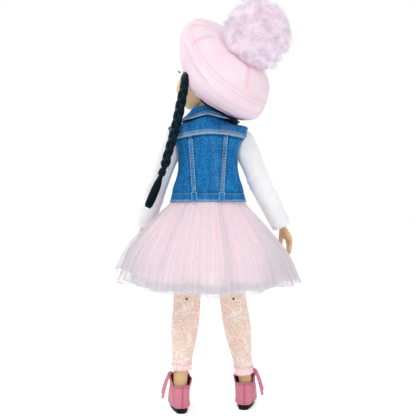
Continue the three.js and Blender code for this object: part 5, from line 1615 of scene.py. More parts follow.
def tassel(word, build, draw):
    """The loose end of a braid: a ribbed core and single hairs round it."""
    tail, spread = braid_route(word, TASSEL_ROWS, 60)
    length = np.linspace(0, 1, 60)
    _, side, behind = frames(tail, (1, 0, 0))
    around = circle(48)
    rough = 1 + 0.05 * np.sin(around * 11 + 3 * length[:, None]) + 0.04 * np.sin(around * 19)
    core = np.maximum(spread * 0.82, 1.9)
    build.tube(tail[:-1], (core[:, None] * rough)[:-1], 48, True, (1, 0, 0), 0.8, size=(0.03, 0.03))
    for _ in range(TASSEL_HAIRS):
        a, r = draw.uniform(0, 2 * math.pi), math.sqrt(draw.uniform(0.35, 1.0))
        wander = draw.uniform(-0.25, 0.25)
        off = (r * np.cos(a + wander * length) * spread)[:, None] * side
        off = off + (0.8 * r * np.sin(a + wander * length) * spread)[:, None] * behind
        pick = slice(0, int(60 * draw.uniform(0.93, 1.0)), 5)
        build.tube((tail + off)[pick], draw.uniform(0.24, 0.42), 5, size=(0.002, 0.03))


def paint_eye():
    """Iris, pupil and white by the angle from the middle of the eye."""
    p = Paint("eye", Roughness=0.06, Coat_Weight=0.8, Coat_Roughness=0.03)
    ray = p.math("SINE", p.times(p.tone("round"), 38.0))
    iris = p.mix(p.times_add(ray, 0.22, 0.35), "#6B3A1E", "#9C6233")
    rim = p.ramp(p.tone("spread"), [(0.34, "#FFFFFF"), (0.42, "#1C0E08")])
    shaded = p.mix(1.0, iris, rim, "MULTIPLY")
    pupil = p.mask(p.tone("spread"), 0.19, 0.215)
    dark = p.mix(pupil, "#050304", shaded)
    white = p.mask(p.tone("spread"), 0.43, 0.455)
    p.into("Base Color", p.mix(white, dark, "#F1EEEA"))
    return p.made


eye_paint = paint_eye()
lash_paint = paint_plain("lash", "#070607", "#14100F", 0.6, 900)
head()
ears()
for word, side in (("left", 1), ("right", -1)):
    eye(word, side)
    lash_line(word, side)
    braid(word)
hair_cap()
nape_hair()

# Beret

BERET_RADIUS, BERET_RISE, BERET_DROP, FELT = 54, 29, 22, 1.5
beret_centre = Vector((-19.3, 3.7, 327.4))
beret_axis = Vector((-0.532, 0.546, 0.647)).normalized()
beret_tilt = Vector((0, 0, 1)).rotation_difference(beret_axis).to_matrix().to_4x4()
beret_matrix = Matrix.Translation(beret_centre) @ beret_tilt
# Half profiles from the middle or the rim: share of the radius, and of the rise or the drop
CROWN = np.array([[0, 1], [0.3, 0.99], [0.55, 0.92], [0.76, 0.75], [0.9, 0.48], [0.975, 0.2], [1, -0.01]])
UNDER = np.array([[1, 0.0], [0.985, 0.3], [0.9, 0.62], [0.76, 0.84], [0.611, 0.985]])
# How the soft rim strays from a circle and a plane: shares of the radius by cosine and sine of 1, 2, 3 turns
RIM_OUT = [(0.033, -0.016), (-0.041, -0.103), (0.043, -0.069)]
RIM_LIFT = [(0.174, 0.05), (-0.059, -0.125)]


# The head band's section: radius and level
BAND_RINGS = ((33.6, -20.6), (33.9, -21.6), (33.4, -23.4), (32.6, -23.6), (32.1, -22.8), (32.2, -20.4))


def slumped(points):
    """The beret's round form, slumped as soft felt is, in its own frame."""
    x, y, z = np.moveaxis(np.asarray(points, float), -1, 0)
    angle, share = np.arctan2(y, x), np.hypot(x, y) / BERET_RADIUS

    def waves(table):
        return sum(c * np.cos(n * angle) + d * np.sin(n * angle) for n, (c, d) in enumerate(table, 1))

    out = 1 + waves(RIM_OUT) * share**3
    puff = -0.009 + 0.012 * np.cos(angle) + 0.053 * np.sin(angle)
    swell = np.sin(math.pi * np.minimum(share / 0.96, 1) ** 1.6) * np.where(z < 0, -0.6, 1)
    lift = BERET_RADIUS * (waves(RIM_LIFT) * share**3 + puff * swell)
    return np.stack([x * out, y * out, z + lift], -1)


def creases(a, r):
    """How far each crease lies from every place on the felt, how deep it is there, and its width."""
    for at, bow, start, end, width, depth in BERET_CREASES:
        away = turned_by(a, at + bow * (r - 0.8) ** 2) * r * BERET_RADIUS
        along = step(r, start - 0.06, start + 0.08) * step(end + 0.06 - r, 0, 0.14)
        yield away, depth * along, width


def beret_form(rows_r, rows_h, columns, up):
    """The felt's surface: soft lobes at the rim, creases and sags that fade to the band."""
    angle = circle(columns)
    r, a = np.meshgrid(rows_r, angle, indexing="ij")
    h = np.repeat(np.asarray(rows_h)[:, None], columns, 1)
    near_rim = step(r, 0.55, 0.95)
    lobe = 0.006 * np.sin(5 * a + 2.0) + 0.004 * np.sin(9 * a)
    reach = r * BERET_RADIUS * (1 + lobe * near_rim)
    x, y = reach * np.cos(a), reach * np.sin(a)
    z = h * (BERET_RISE if up else -BERET_DROP)
    z = z + 0.7 * soft_noise(x / 24, y / 24, 131) * step(r, 0.3, 0.8) * step(1 - r, 0, 0.1)
    if up:
        z = z - 2.4 * bell(r - 0.38, 0.12)
        for away, depth, width in creases(a, r):
            z = z + depth * (0.8 * bell(away - 1.7 * width, width) - bell(away, width))
    else:
        gathers = 0.5 * np.sin(a * 11 + 1) + 0.35 * np.sin(a * 17)
        pleat = 2.6 * bell(turned_by(a, 2.25 - 0.5 * (0.9 - r)), 0.09)
        pleat = pleat - 2.4 * bell(turned_by(a, 2.5 - 0.9 * (0.85 - r)), 0.2)
        z = z + (gathers + pleat) * bell(r - 0.74, 0.12)
        z = z - 3.4 * bell(turned_by(a, 0.85), 0.5) * bell(r - 0.86, 0.12)
    return np.stack([x, y, z], 2), a, r


# Creases in the felt: angle, bow, where each starts and ends along the radius, width and depth
BERET_CREASES = [
    (5.93, 0.9, 0.5, 0.93, 1.2, 1.4),
    (6.16, 0.5, 0.52, 0.95, 1.1, 1.3),
    (0.32, 0.2, 0.62, 0.95, 1.5, 1.1),
    (1.05, 0.4, 0.3, 0.75, 2.2, 0.5),
    (1.9, -0.3, 0.35, 0.9, 2.4, 0.9),
    (2.7, 0.2, 0.5, 0.95, 2.0, 0.6),
    (3.5, -0.3, 0.45, 0.9, 2.2, 0.7),
    (4.4, 0.3, 0.5, 0.92, 2.0, 0.7),
]


def filled(made, name, values):
    """An attribute for the first points of a mesh, and none for the rest."""
    rest = np.zeros(len(made.data.vertices) - values.size)
    extra_attribute(made, name, np.concatenate([values.ravel(), rest]))


def felt_layer(name, face, out, edges, tall, tone):
    """A layer of felt: its face, its inside, and the edges that close it."""
    inner = face - out * FELT
    build = Build().grid(moved(face, beret_matrix), True, (0.34, tall), tone)
    build.grid(moved(inner[::-1], beret_matrix), True, (0.34, tall))
    for row in edges:
        build.grid(moved(np.stack([face[row], inner[row]]), beret_matrix), True, (0.34, 0.002))
    return build.object(name, felt, weld=False)


def beret_top(columns):
    """The crown, with a bead and a line at its rim and a hollow round the pom-pom."""
    profile = curve_through(CROWN, 90)
    points, a, r = beret_form(np.maximum(profile[:, 0], 0.004), profile[:, 1], columns, True)
    points = slumped(points)
    from_rim = (1 - r) * BERET_RADIUS + 0.9 * np.abs(points[..., 2]) * (r > 0.93)
    bead_up = 0.75 * bell(from_rim - 0.4, 1.1) - 0.35 * bell(from_rim - 3.0, 0.9)
    out = -normals(points)
    out = out * np.sign(out[30:60, :, 2].mean())
    crown = points + out * bead_up[..., None]
    made = felt_layer("beret_top", crown, out, (-1,), 0.07, 0.75 * bell(from_rim - 0.5, 1.0))
    # Painted shade, pinker, in the hollow round the pom-pom, in the groove inside the rim's bead and in the
    # creases
    hollow = 0.9 * bell(r - 0.36, 0.13) * (0.45 + 0.55 * bell(turned_by(a, 0.7), 1.0))
    hollow = hollow + 0.4 * bell(from_rim - 3.2, 1.1)
    for away, depth, width in creases(a, r):
        hollow = hollow + 0.55 * depth * bell(away, 1.6 * width)
    filled(made, "hollow_shade", np.clip(hollow, 0, 1))
    # Painted shade over one side of the crown
    filled(made, "shade", 0.35 * bell(turned_by(a, 3.3), 1.0) * step(r, 0.5, 1.0))
    finish_piece(made, "head", "beret_crown")
    return crown


def beret_bottom(columns):
    """The underside from the rim to the head band, with its gathers and the fold over the nape."""
    profile = curve_through(UNDER, 70)
    points, a, r = beret_form(profile[:, 0], profile[:, 1], columns, False)
    points = slumped(points)
    out = normals(points)
    out = out * np.sign(-out[30:60, :, 2].mean())
    tuck = 0.4 * bell((r - 0.985) * BERET_RADIUS, 1.0)
    under = points + out * tuck[..., None]
    made = felt_layer("beret_bottom", under, out, (0, -1), 0.05, 0.2 * bell((r - 1) * BERET_RADIUS, 1.5))
    # Painted shade: the underside is cooler all over, most of all inward from the rim
    filled(made, "shade", 0.35 + 0.5 * step(1 - r, 0.02, 0.2))
    # Painted shade, a deep lavender, in the underside's creases by the band
    crease = bell(turned_by(a, 1.95 + 4.2 * (0.87 - r)), 0.34)
    crease = crease * step(r, 0.58, 0.66) * step(0.93 - r, 0, 0.06)
    crease = crease + 0.6 * bell(turned_by(a, 2.55), 0.5) * bell(r - 0.84, 0.1)
    filled(made, "fold", np.clip(0.9 * crease, 0, 1))
    finish_piece(made, "head", "beret_underside")


def beret():
    """Crown, underside, head band and two rows of stitches by the rim."""
    columns = 320
    crown = beret_top(columns)
    beret_bottom(columns)
    angle = circle(columns)
    x, y = np.cos(angle), np.sin(angle)
    rings = [level_ring(radius * x, radius * y, level) for radius, level in BAND_RINGS]
    rings = np.array([*rings, rings[0]])
    build = Build().grid(moved(slumped(rings), beret_matrix), True, (0.2, 0.01), 0.6)
    finish_piece(build.object("beret_band", felt), "head")
    rows = Build()
    radius = np.linalg.norm(crown[:, :, :2], axis=2).mean(1)
    face = normals(crown)
    face = face * np.sign(face[..., 2].mean())
    turn = np.array(beret_matrix)[:3, :3]
    for off in (1.4, 2.9):
        row = int(np.argmin(np.abs(radius - (BERET_RADIUS * 0.99 - off))))
        line = moved(looped(crown[row]), beret_matrix)
        stitches(rows, line, looped(face[row]) @ turn.T, 1.9, 2.6, 0.34, 0.05)
    finish_piece(rows.object("beret_stitches", thread_felt), "head")


POM_HIGH, POM_CORE, POM_REACH, CLUMPS = 48.7, 20.5, 31.0, 340


def pompom():
    """Thousands of three-sided hairs that lean together in clumps, round a rough ball."""
    centre = vec(*(beret_centre + beret_axis * POM_HIGH))
    draw = np.random.default_rng(77)
    count = 22000
    golden = math.pi * (3 - math.sqrt(5))
    index = np.arange(count)
    z = 1 - 2 * (index + 0.5) / count
    ring = np.sqrt(1 - z * z)
    way = np.stack([ring * np.cos(golden * index), ring * np.sin(golden * index), z], 1)
    way = unit(way + draw.normal(0, 0.02, way.shape))
    clumps = unit(draw.normal(0, 1, (CLUMPS, 3)))
    nearest = np.argmax(way @ clumps.T, 1)
    length = POM_REACH + draw.normal(0, 1.2, count) + 1.4 * draw.normal(0, 1, CLUMPS)[nearest]
    root = centre + way * POM_CORE
    sweep_way = draw.normal(0, 0.09, (CLUMPS, 3))[nearest]
    tip_way = unit(way * 0.5 + clumps[nearest] * 0.5 + sweep_way + draw.normal(0, 0.045, way.shape))
    droop = vec(0, 0, -0.9)
    tip = centre + tip_way * length[:, None] + droop * draw.uniform(0.2, 1.2, count)[:, None]
    lean = unit(way * 0.8 + clumps[nearest] * 0.2)
    middle = centre + lean * (0.45 * POM_CORE + 0.55 * length)[:, None]
    middle = middle + draw.normal(0, 0.45, middle.shape)
    # Places along a hair: point, half width and tone
    shares = ((root, 0.34, 0.0), (0.5 * (root + middle), 0.32, 0.25), (middle, 0.26, 0.5),
              (0.5 * (middle + tip) + 0.25 * (tip_way - way), 0.16, 0.75), (tip, 0.04, 1.0))
    across = unit(np.cross(way, vec(0.3, 0.5, 0.8)))
    behind = np.cross(way, across)
    build = Build()
    sides = 3
    corners = [2 * math.pi * k / sides for k in range(sides)]
    points = [place + width * (math.cos(a) * across + math.sin(a) * behind)
              for place, width, _ in shares for a in corners]
    rows = len(shares)
    pairs = [(r * sides, k, (k + 1) % sides) for r in range(rows - 1) for k in range(sides)]
    quads = [[r + k, r + after, r + sides + after, r + sides + k] for r, k, after in pairs]
    first = (np.arange(count) * rows * sides)[:, None]
    faces = (np.array(quads)[None] + first[:, None]).reshape(-1, 4)
    tones = np.tile(np.repeat([tone for _, _, tone in shares], sides), count)
    build.add(np.stack(points, 1).reshape(-1, 3), faces, tone=tones)
    caps = np.concatenate([first + np.array([[2, 1, 0]]), first + (rows - 1) * sides + np.array([[0, 1, 2]])])
    build.faces.append(caps)
    build.maps.append(np.zeros(caps.shape + (2,)))
    polar = np.linspace(0.001, math.pi - 0.001, 70)
    p, a = np.meshgrid(polar, circle(120), indexing="ij")
    shape = np.stack([np.sin(p) * np.cos(a), np.sin(p) * np.sin(a), -np.cos(p)], 2)
    rough = 25.5 + 1.1 * soft_noise(shape[..., 0] * 9, shape[..., 1] * 9 + shape[..., 2] * 7, 140)
    build.grid(centre + shape * rough[..., None], True, (1, 1), 0.25)
    finish_piece(build.object("pompom_fur", fur, weld=False), "head", "pompom")


beret()
pompom()


# Hands

HAND_LONG, HAND_WIDE, HAND_THICK, HAND_TURN = 29, 6.6, 3.2, 68
# Palm rows: level, width, depth
PALM = np.array([[0.05, 0.70, 0.86], [-0.1, 0.74, 0.9], [-0.2, 0.86, 1], [-0.36, 1, 1.04], [-0.5, 0.98, 0.86],
                 [-0.58, 0.86, 0.6]])
# Fingers: place across the palm, girth and length
FINGERS = ((-0.78, 0.93, 0.9), (-0.26, 0.98, 1.0), (0.26, 0.97, 0.97), (0.76, 0.88, 0.86))
FINGER_RADIUS = 1.72


def hand_matrix(word):
    """The hand's frame at the wrist, in line with the forearm."""
    s = SIDES[word]
    aim = Vector((0, 0, -1)).rotation_difference(Vector(s["wrist"] - s["elbow"]).normalized())
    turn = Quaternion((0, 0, 1), s["side"] * math.radians(HAND_TURN))
    return Matrix.Translation(Vector(s["wrist"])) @ (aim @ turn).to_matrix().to_4x4()


def fused(build, name, material, voxel, smoothing):
    """One skin round several overlapping shapes."""
    rough = build.object(name + "_rough", material, weld=False)
    remesh = rough.modifiers.new("fuse", "REMESH")
    remesh.mode = "VOXEL"
    remesh.voxel_size = voxel * MM
    relax = rough.modifiers.new("relax", "SMOOTH")
    relax.factor = 0.5
    relax.iterations = smoothing
    mesh = bpy.data.meshes.new_from_object(rough.evaluated_get(bpy.context.evaluated_depsgraph_get()))
    bpy.data.objects.remove(rough)
    mesh.name = name
    mesh.shade_smooth()
    made = bpy.data.objects.new(name, mesh)
    scene.collection.objects.link(made)
    if not mesh.materials:
        mesh.materials.append(material)
    return made


def limb(build, path, radius):
    """A tube with round ends."""
    path, radius = np.asarray(path, float), np.asarray(radius, float)
    dome = np.sin(np.linspace(0.15, 1.0, 5) * math.pi / 2)[:-1]
    ahead = unit(path[-1] - path[-2])
    behind = unit(path[0] - path[1])
    first = [path[0] + behind * radius[0] * math.cos(math.asin(k)) for k in dome]
    last = [path[-1] + ahead * radius[-1] * math.cos(math.asin(k)) for k in dome[::-1]]
    path = np.concatenate([first, path, last])
    radius = np.concatenate([radius[0] * dome, radius, radius[-1] * dome[::-1]])
    build.tube(path, radius, 20, True)


def hand(word):
    """A palm, four curled fingers and a thumb in one skin, with nails."""
    side = SIDES[word]["side"]
    matrix = hand_matrix(word)
    build, nails = Build(), Build()
    levels = np.linspace(0.05, -0.58, 30)
    wide = smooth(-levels, -PALM[:, 0], PALM[:, 1]) * HAND_WIDE
    deep = smooth(-levels, -PALM[:, 0], PALM[:, 2]) * HAND_THICK
    angle = circle(40)
    palm = [level_ring(*oval(w, d, d * 0.85, angle, 2.4), level * HAND_LONG)
            for level, w, d in zip(levels, wide, deep)]
    build.grid(closed(np.array(palm[::-1])))
    for along, girth, length in FINGERS:
        place = along * (HAND_WIDE - 0.85) * side
        share = np.linspace(0, 1, 16)
        x = place * (1.0 - 0.24 * share)
        z = -HAND_LONG * (0.44 + (length - 0.47) * share)
        y = 0.2 + 5.4 * share**2.1 - 0.7 * np.sin(share * math.pi)
        knuckle = 1 + 0.05 * bell(share - 0.42, 0.07) + 0.04 * bell(share - 0.73, 0.06)
        radius = FINGER_RADIUS * girth * (1 - 0.2 * share**2.2) * knuckle
        path = np.stack([x, y, z], 1)
        limb(build, path, radius)
        tip = path[-1] + vec(0, -radius[-1] * 0.86, 0.35)
        nail_form(nails, tip, unit(path[-1] - path[-3]), vec(0, -1, 0), 1.05 * girth, 1.45)
    # The thumb
    share = np.linspace(0, 1, 14)
    x = -side * (HAND_WIDE * 0.5 + share * HAND_WIDE * 0.42 + 0.9 * np.sin(share * math.pi))
    y = 0.3 + 6.4 * share**1.1
    z = -HAND_LONG * (0.14 + 0.42 * share)
    path = np.stack([x, y, z], 1)
    radius = 2.35 - 0.45 * share + 0.12 * bell(share - 0.6, 0.1)
    limb(build, path, radius)
    away = unit(vec(-side * 0.65, -0.75, 0))
    tip = path[-1] + away * radius[-1] * 0.85 + vec(0, 0, 0.3)
    nail_form(nails, tip, unit(path[-1] - path[-3]), away, 1.3, 1.6)
    for mesh_build in (build, nails):
        mesh_build.points = [moved(p, matrix) for p in mesh_build.points]
    made = fused(build, f"{word}_hand_skin", skin, 0.42, 5)
    finish_piece(made, f"{word}_hand", f"{word}_hand")
    finish_piece(nails.object(f"{word}_nails", nail_paint), f"{word}_hand")


def nail_form(build, place, ahead, out, wide, long):
    """A small domed oval set into the end of a finger."""
    across = unit(np.cross(out, ahead))
    u, v = np.meshgrid(np.linspace(0, 2 * math.pi, 17)[:-1], np.linspace(0.02, 1, 6))
    x, y = v * np.cos(u) * wide, v * np.sin(u) * long
    lift = 0.22 * (1 - v**2) - 0.5 * (x / wide) ** 2 * 0.6
    top = place + x[..., None] * across + y[..., None] * ahead + (lift + 0.12)[..., None] * out
    rim = place + x[-1][:, None] * across + y[-1][:, None] * ahead + (lift[-1] - 0.35)[:, None] * out
    middle = np.broadcast_to(place - 0.4 * out, rim.shape)
    build.grid(np.concatenate([top, rim[None], middle[None]]))


# Legs

# Joint places, the hem of the leggings and the middle of the strip up the back of the boot
LEGS = {
    "left": {"side": 1, "hip": vec(18, 0, 188), "knee": vec(20.5, 0, 108.5), "ankle": vec(26.5, 6, 36),
             "hem": 40.5, "seams": 28.6},
    "right": {"side": -1, "hip": vec(-18, 0, 188), "knee": vec(-24.5, -1, 108.5), "ankle": vec(-36, -6, 36),
              "hem": 34.8, "seams": -39.6},
}
# Limb rows: share of the length, width, front, back
THIGH = np.array([[-0.16, 0.9, 0.97, 0.97], [0, 0.93, 1, 1], [0.17, 1, 1.02, 1.04], [0.4, 1.02, 1.03, 1.04],
                  [0.65, 0.96, 0.99, 0.97], [0.88, 0.9, 0.93, 0.91], [1.15, 0.87, 0.9, 0.88]])
SHIN = np.array([[-0.16, 0.94, 0.94, 0.94], [0, 0.96, 0.98, 0.97], [0.14, 0.98, 0.96, 1.02],
                 [0.34, 1, 0.94, 1.1], [0.6, 0.86, 0.82, 0.92], [0.8, 0.7, 0.69, 0.72],
                 [1, 0.56, 0.57, 0.57]])
THIGH_RADIUS, SHIN_RADIUS, KNEE_RADIUS = 13.4, 12.3, 10.5
LACE_OUT, HIP_LACE_OUT = 1.25, 0.9


def limb_rings(start, end, table, shares, radius, extra, sides):
    """Rings down a limb, wide along x and deep along y."""
    angle = circle(sides)
    down = unit(end - start)
    across = unit(vec(1, 0, 0) - down * down[0])
    behind = np.cross(down, across)
    behind = behind * np.sign(behind[1])
    width, front, back = [smooth(shares, table[:, 0], table[:, k]) * radius + extra for k in (1, 2, 3)]
    depth = np.where(np.sin(angle) > 0, back[:, None], front[:, None])
    return (
        (start + np.asarray(shares)[:, None] * (end - start))[:, None]
        + (width[:, None] * np.cos(angle))[..., None] * across
        + (depth * np.sin(angle))[..., None] * behind
    )


def leg_skin(word):
    """The thigh, and the lower leg with its foot."""
    leg = LEGS[word]
    sides = 64
    angle = circle(sides)
    knee = leg["knee"]
    # The thigh's lower rim slants up behind the knee, and its end is hollow round the knee's ball
    thigh = limb_rings(leg["hip"], knee, THIGH, np.linspace(-0.12, 1.0, 70), THIGH_RADIUS, 0, sides)
    rim_level = knee[2] + 1.2 + 4.2 * step(np.sin(angle), -0.2, 1.0)
    wanted = rim_level + (thigh[0, :, 2] - rim_level) * (1 - np.linspace(0, 1, 70))[:, None]
    points = thigh.copy()
    for k in range(sides):
        for axis in (0, 1):
            points[:, k, axis] = np.interp(-wanted[:, k], -thigh[:, k, 2], thigh[:, k, axis])
        points[:, k, 2] = wanted[:, k]
    cup = [knee + (points[-1] - knee) * vec(share, share, 1) + vec(0, 0, 2.5 * (1 - share))
           for share in (0.985, 0.95, 0.91)]
    for lift in (6.0, 8.6, 9.9):
        radius = math.sqrt((KNEE_RADIUS + 0.35) ** 2 - lift**2)
        cup.append(knee + level_ring(radius * np.cos(angle), radius * np.sin(angle), lift))
    whole = np.concatenate([points, np.array(cup)])
    made = Build().grid(closed(whole)[::-1], True, (0.08, 0.08)).object(f"{word}_thigh_skin", skin)
    finish_piece(made, f"{word}_thigh", f"{word}_thigh")
    # The lower leg: a ball at the knee, a calf and an ankle that ends in the foot
    shares = np.linspace(0.07, 1.16, 80)
    shin = limb_rings(knee, leg["ankle"], SHIN, np.minimum(shares, 1.0), SHIN_RADIUS, 0, sides)
    shin = shin + ((np.maximum(shares, 1) - 1)[:, None] * (leg["ankle"] - knee))[:, None]
    dome = []
    for turn in np.linspace(0.02, 1.28, 14):
        radius = KNEE_RADIUS * math.sin(turn)
        height = KNEE_RADIUS * math.cos(turn)
        dome.append(knee + level_ring(radius * np.cos(angle), radius * np.sin(angle), height))
    blend_in = [dome[-1] * (1 - share) + shin[0] * share for share in (0.35, 0.7)]
    whole = np.concatenate([np.array(dome), np.array(blend_in), shin])
    build = Build().grid(closed(whole)[::-1], True, (0.08, 0.08))
    foot = foot_rings(word, np.linspace(0, 0.62, 14), 0.0, 0.0, 72)
    build.grid(closed(foot), True, (0.08, 0.03))
    made = build.object(f"{word}_shin_skin", skin)
    finish_piece(made, f"{word}_lower_leg", f"{word}_lower_leg")


# Foot and boot: the outline of the foot seen from above, and how much of it shows at each height
OUTLINE = np.array([[1, 0.02], [0.94, 0.5], [0.78, 0.86], [0.5, 1], [0.1, 0.86], [-0.4, 0.74], [-0.84, 0.6],
                    [-1, 0.16]])
FOOT_UP = np.array([[0, 0.96], [0.08, 1], [0.25, 0.96], [0.42, 0.74], [0.6, 0.4], [0.8, 0.12], [1, 0]])
FOOT_WIDE, FOOT_TOE, FOOT_HEEL, FOOT_LOW, FOOT_MIDDLE, FOOT_TURN = 8.6, 34, 10.5, 5.3, -8, 9
ANKLE_RADIUS = 6.9
SUEDE_THICK, SEAM_HALF = 1.25, 4.3
# The sole's section: level and how far out
SOLE_RINGS = ((0, -1.0), (0.25, -0.4), (0.8, 0.0), (3.6, 0.3), (4.4, 0.4), (4.85, 0.2), (5, -0.2))
TIE_RADIUS = 11.2


def foot_matrix(word):
    """The foot's frame below the ankle, turned out a little."""
    leg = LEGS[word]
    turn = Matrix.Rotation(leg["side"] * math.radians(FOOT_TURN), 4, "Z")
    return Matrix.Translation(Vector((leg["ankle"][0], leg["ankle"][1], 0))) @ turn


def foot_outline(extra, sides):
    """The foot's outline in evenly spaced points that start at its left side."""
    half = []
    for along, width in OUTLINE:
        y = -along * ((FOOT_TOE if along > 0 else FOOT_HEEL) + extra)
        half.append([width * FOOT_WIDE + extra * min(1, 4 * width), y])
    half = np.array(half)
    line = np.concatenate([half[::-1], half * vec(-1, 1)])
    dense = curve_through(line, 600, True)
    centre = vec(0, FOOT_MIDDLE)
    angle = np.unwrap(np.arctan2(*(dense - centre).T[::-1]))
    if angle[-1] < angle[0]:
        dense = dense[::-1]
    start = np.argmin(np.abs(dense[:, 1] - FOOT_MIDDLE) + (dense[:, 0] < 0) * 99)
    whole = looped(np.roll(dense, -start, 0))
    length = travel_along(whole)
    at = length[-1] * np.arange(sides) / sides
    return np.stack([np.interp(at, length, whole[:, k]) for k in (0, 1)], 1)


def foot_rings(word, ups, extra, ankle_extra, sides, top_of=None):
    """Rings from the sole's outline to a round ankle; top_of may give each side its own height."""
    rim = foot_outline(extra, sides)
    angle = circle(sides)
    radius = ANKLE_RADIUS + ankle_extra
    ankle = np.stack([radius * np.cos(angle), radius * np.sin(angle)], 1)
    points = []
    for up in ups:
        height = up * (np.ones(sides) if top_of is None else top_of)
        share = smooth(height, FOOT_UP[:, 0], FOOT_UP[:, 1])[:, None]
        flat = ankle * (1 - share) + rim * share
        points.append(np.concatenate([flat, (FOOT_LOW + height * (ANKLE - FOOT_LOW))[:, None]], 1))
    return moved(np.array(points), foot_matrix(word))


def rear_line(points, out, x, front):
    """The line up the back of a grid at one x, and the way out along it."""
    line, facing = [], []
    for ring, ways in zip(points, out):
        rear = np.where(ring[:, 1] > front + 1)[0]
        order = rear[np.argsort(ring[rear, 0])]
        line.append([np.interp(x, ring[order, 0], ring[order, k]) for k in range(3)])
        facing.append([np.interp(x, ring[order, 0], ways[order, k]) for k in range(3)])
    return np.array(line), unit(np.array(facing))


def points_behind(points, word):
    """How far points lie behind the ankle, along the foot."""
    matrix = foot_matrix(word)
    return (np.asarray(points) - vec(*matrix.translation)) @ vec(*matrix.col[1][:3])


def boot(word):
    """The suede upper with a strip up the back, its lining, stitches, sole and tie."""
    side = LEGS[word]["side"]
    sides = 160
    angle = circle(sides)
    behind = turned_by(angle, math.pi / 2)
    ahead = turned_by(angle, -math.pi / 2)
    inner_side = step(-side * np.cos(angle), 0.1, 0.7)
    top = 1.0 - 0.04 * step(np.abs(ahead), 0.8, 1.3) - 0.1 * inner_side * step(np.abs(ahead), 0.8, 1.3)
    top = top - (0.27 - 0.09 * inner_side) * step(1.5 - np.abs(behind), 0, 0.75)
    ups = np.linspace(0, 1, 46)
    outer = foot_rings(word, ups, 1.8, 3.4, sides, top)
    out = normals(outer)
    level = ups[:, None] * top
    flare = 0.9 * step(ups, 0.75, 1.0)[:, None] * (1 - 0.4 * bell(behind, 0.6))
    seam_away = np.abs(outer[..., 0] - LEGS[word]["seams"])
    rear = outer[..., 1] > LEGS[word]["ankle"][1] + 1
    strip = 0.45 * step(SEAM_HALF + 0.5 - seam_away, 0, 0.8) * rear * step(level, 0.02, 0.06)
    crease = 0.3 * soft_noise(angle * 2.4, level * 7, 150 + side) * step(level, 0.08, 0.3)
    welt = 0.55 * bell(level, 0.035)
    heel = step(points_behind(outer, word), -2, 8)
    pinch = 0.8 * bell(level - 0.42, 0.25) * heel - (0.1 + 1.9 * heel) * bell(level, 0.2)
    outer = outer + (flare + strip + crease + welt + pinch)[..., None] * out
    tone = 0.55 * bell(seam_away - SEAM_HALF, 0.5) * rear + 0.5 * bell(ups - 0.93, 0.02)[:, None]
    tone = np.clip(tone, 0, 1)
    inner = outer - SUEDE_THICK * out
    build = Build().grid(outer, True, (0.09, 0.035), tone)
    build.grid(np.stack([outer[-1], inner[-1]]), True, (0.09, 0.001))
    build.grid(np.stack([outer[0], inner[0]]), True, (0.09, 0.001))
    build.grid(inner[::-1], True, (0.09, 0.035))
    made = build.object(f"{word}_boot_suede", suede)
    finish_piece(made, f"{word}_lower_leg", f"{word}_boot_upper")
    ups = np.linspace(0.35, 0.985, 20)
    liner = foot_rings(word, ups, 0.45, 2.05, sides, top)
    liner = liner + (0.9 * step(ups, 0.75, 1.0))[:, None, None] * normals(liner)
    made = Build().shell(liner, 0.4, True).object(f"{word}_boot_lining", lining_red)
    finish_piece(made, f"{word}_lower_leg")
    rows = Build()
    for place in (-SEAM_HALF, SEAM_HALF):
        for shift in (-0.7, 0.7):
            line, facing = rear_line(outer, out, LEGS[word]["seams"] + place + shift, LEGS[word]["ankle"][1])
            stitches(rows, line[2:-1], facing[2:-1], 1.2, 2.0, 0.5, 0.12)
    stitches(rows, looped(outer[4]), looped(out[4]), 1.6, 2.4, 0.4, 0.1)
    stitches(rows, looped(outer[-3]), looped(out[-3]), 1.4, 2.2, 0.35, 0.1)
    finish_piece(rows.object(f"{word}_boot_stitches", thread_rose), f"{word}_lower_leg")
    sole(word)
    boot_tie(word)


def sole(word):
    """The black sole, with a groove round it and a narrower heel."""
    sides = 200
    points = []
    for level, extra in SOLE_RINGS:
        rim = foot_outline(extra, sides)
        rim = rim * np.stack([1 - 0.14 * step(rim[:, 1], -4, 8), np.ones(sides)], 1)
        points.append(np.concatenate([rim, np.full((sides, 1), level)], 1))
    points = np.array(points)
    groove = 0.25 * bell(points[..., 2] - 2.4, 0.35)
    middle = vec(0, FOOT_MIDDLE, 0)
    away = unit((points - middle) * vec(1, 1, 0))
    points = points - groove[..., None] * away
    low = [middle + (points[0] - middle) * vec(s, s, 1) for s in (0.5, 0.96)]
    high = [middle + (points[-1] - middle) * vec(s, s, 1) for s in (0.97, 0.5)]
    whole = np.concatenate([np.array(low), points, np.array(high)])
    made = Build().grid(moved(closed(whole), foot_matrix(word))).object(f"{word}_sole", rubber)
    finish_piece(made, f"{word}_lower_leg", f"{word}_boot_sole")


def ribbon(build, path, out, width, thickness, tone=0.0):
    """A flat strip along a path, with rounded edges; out points away from what it lies on."""
    path = np.asarray(path, float)
    tangent = unit(np.gradient(path, axis=0))
    out = unit(out - tangent * (out * tangent).sum(-1, keepdims=True))
    across = np.cross(tangent, out)
    width = np.broadcast_to(width, len(path))[:, None, None]
    loop = [[-1, -0.6], [-1, 0.6], [-0.93, 1], [0.93, 1], [1, 0.6], [1, -0.6], [0.93, -1], [-0.93, -1]]
    loop = np.array(loop)[None] / 2
    points = path[:, None] + loop[..., :1] * width * across[:, None]
    points = points + loop[..., 1:] * thickness * out[:, None]
    build.grid(closed(points), True, (0.01, 0.03), tone)


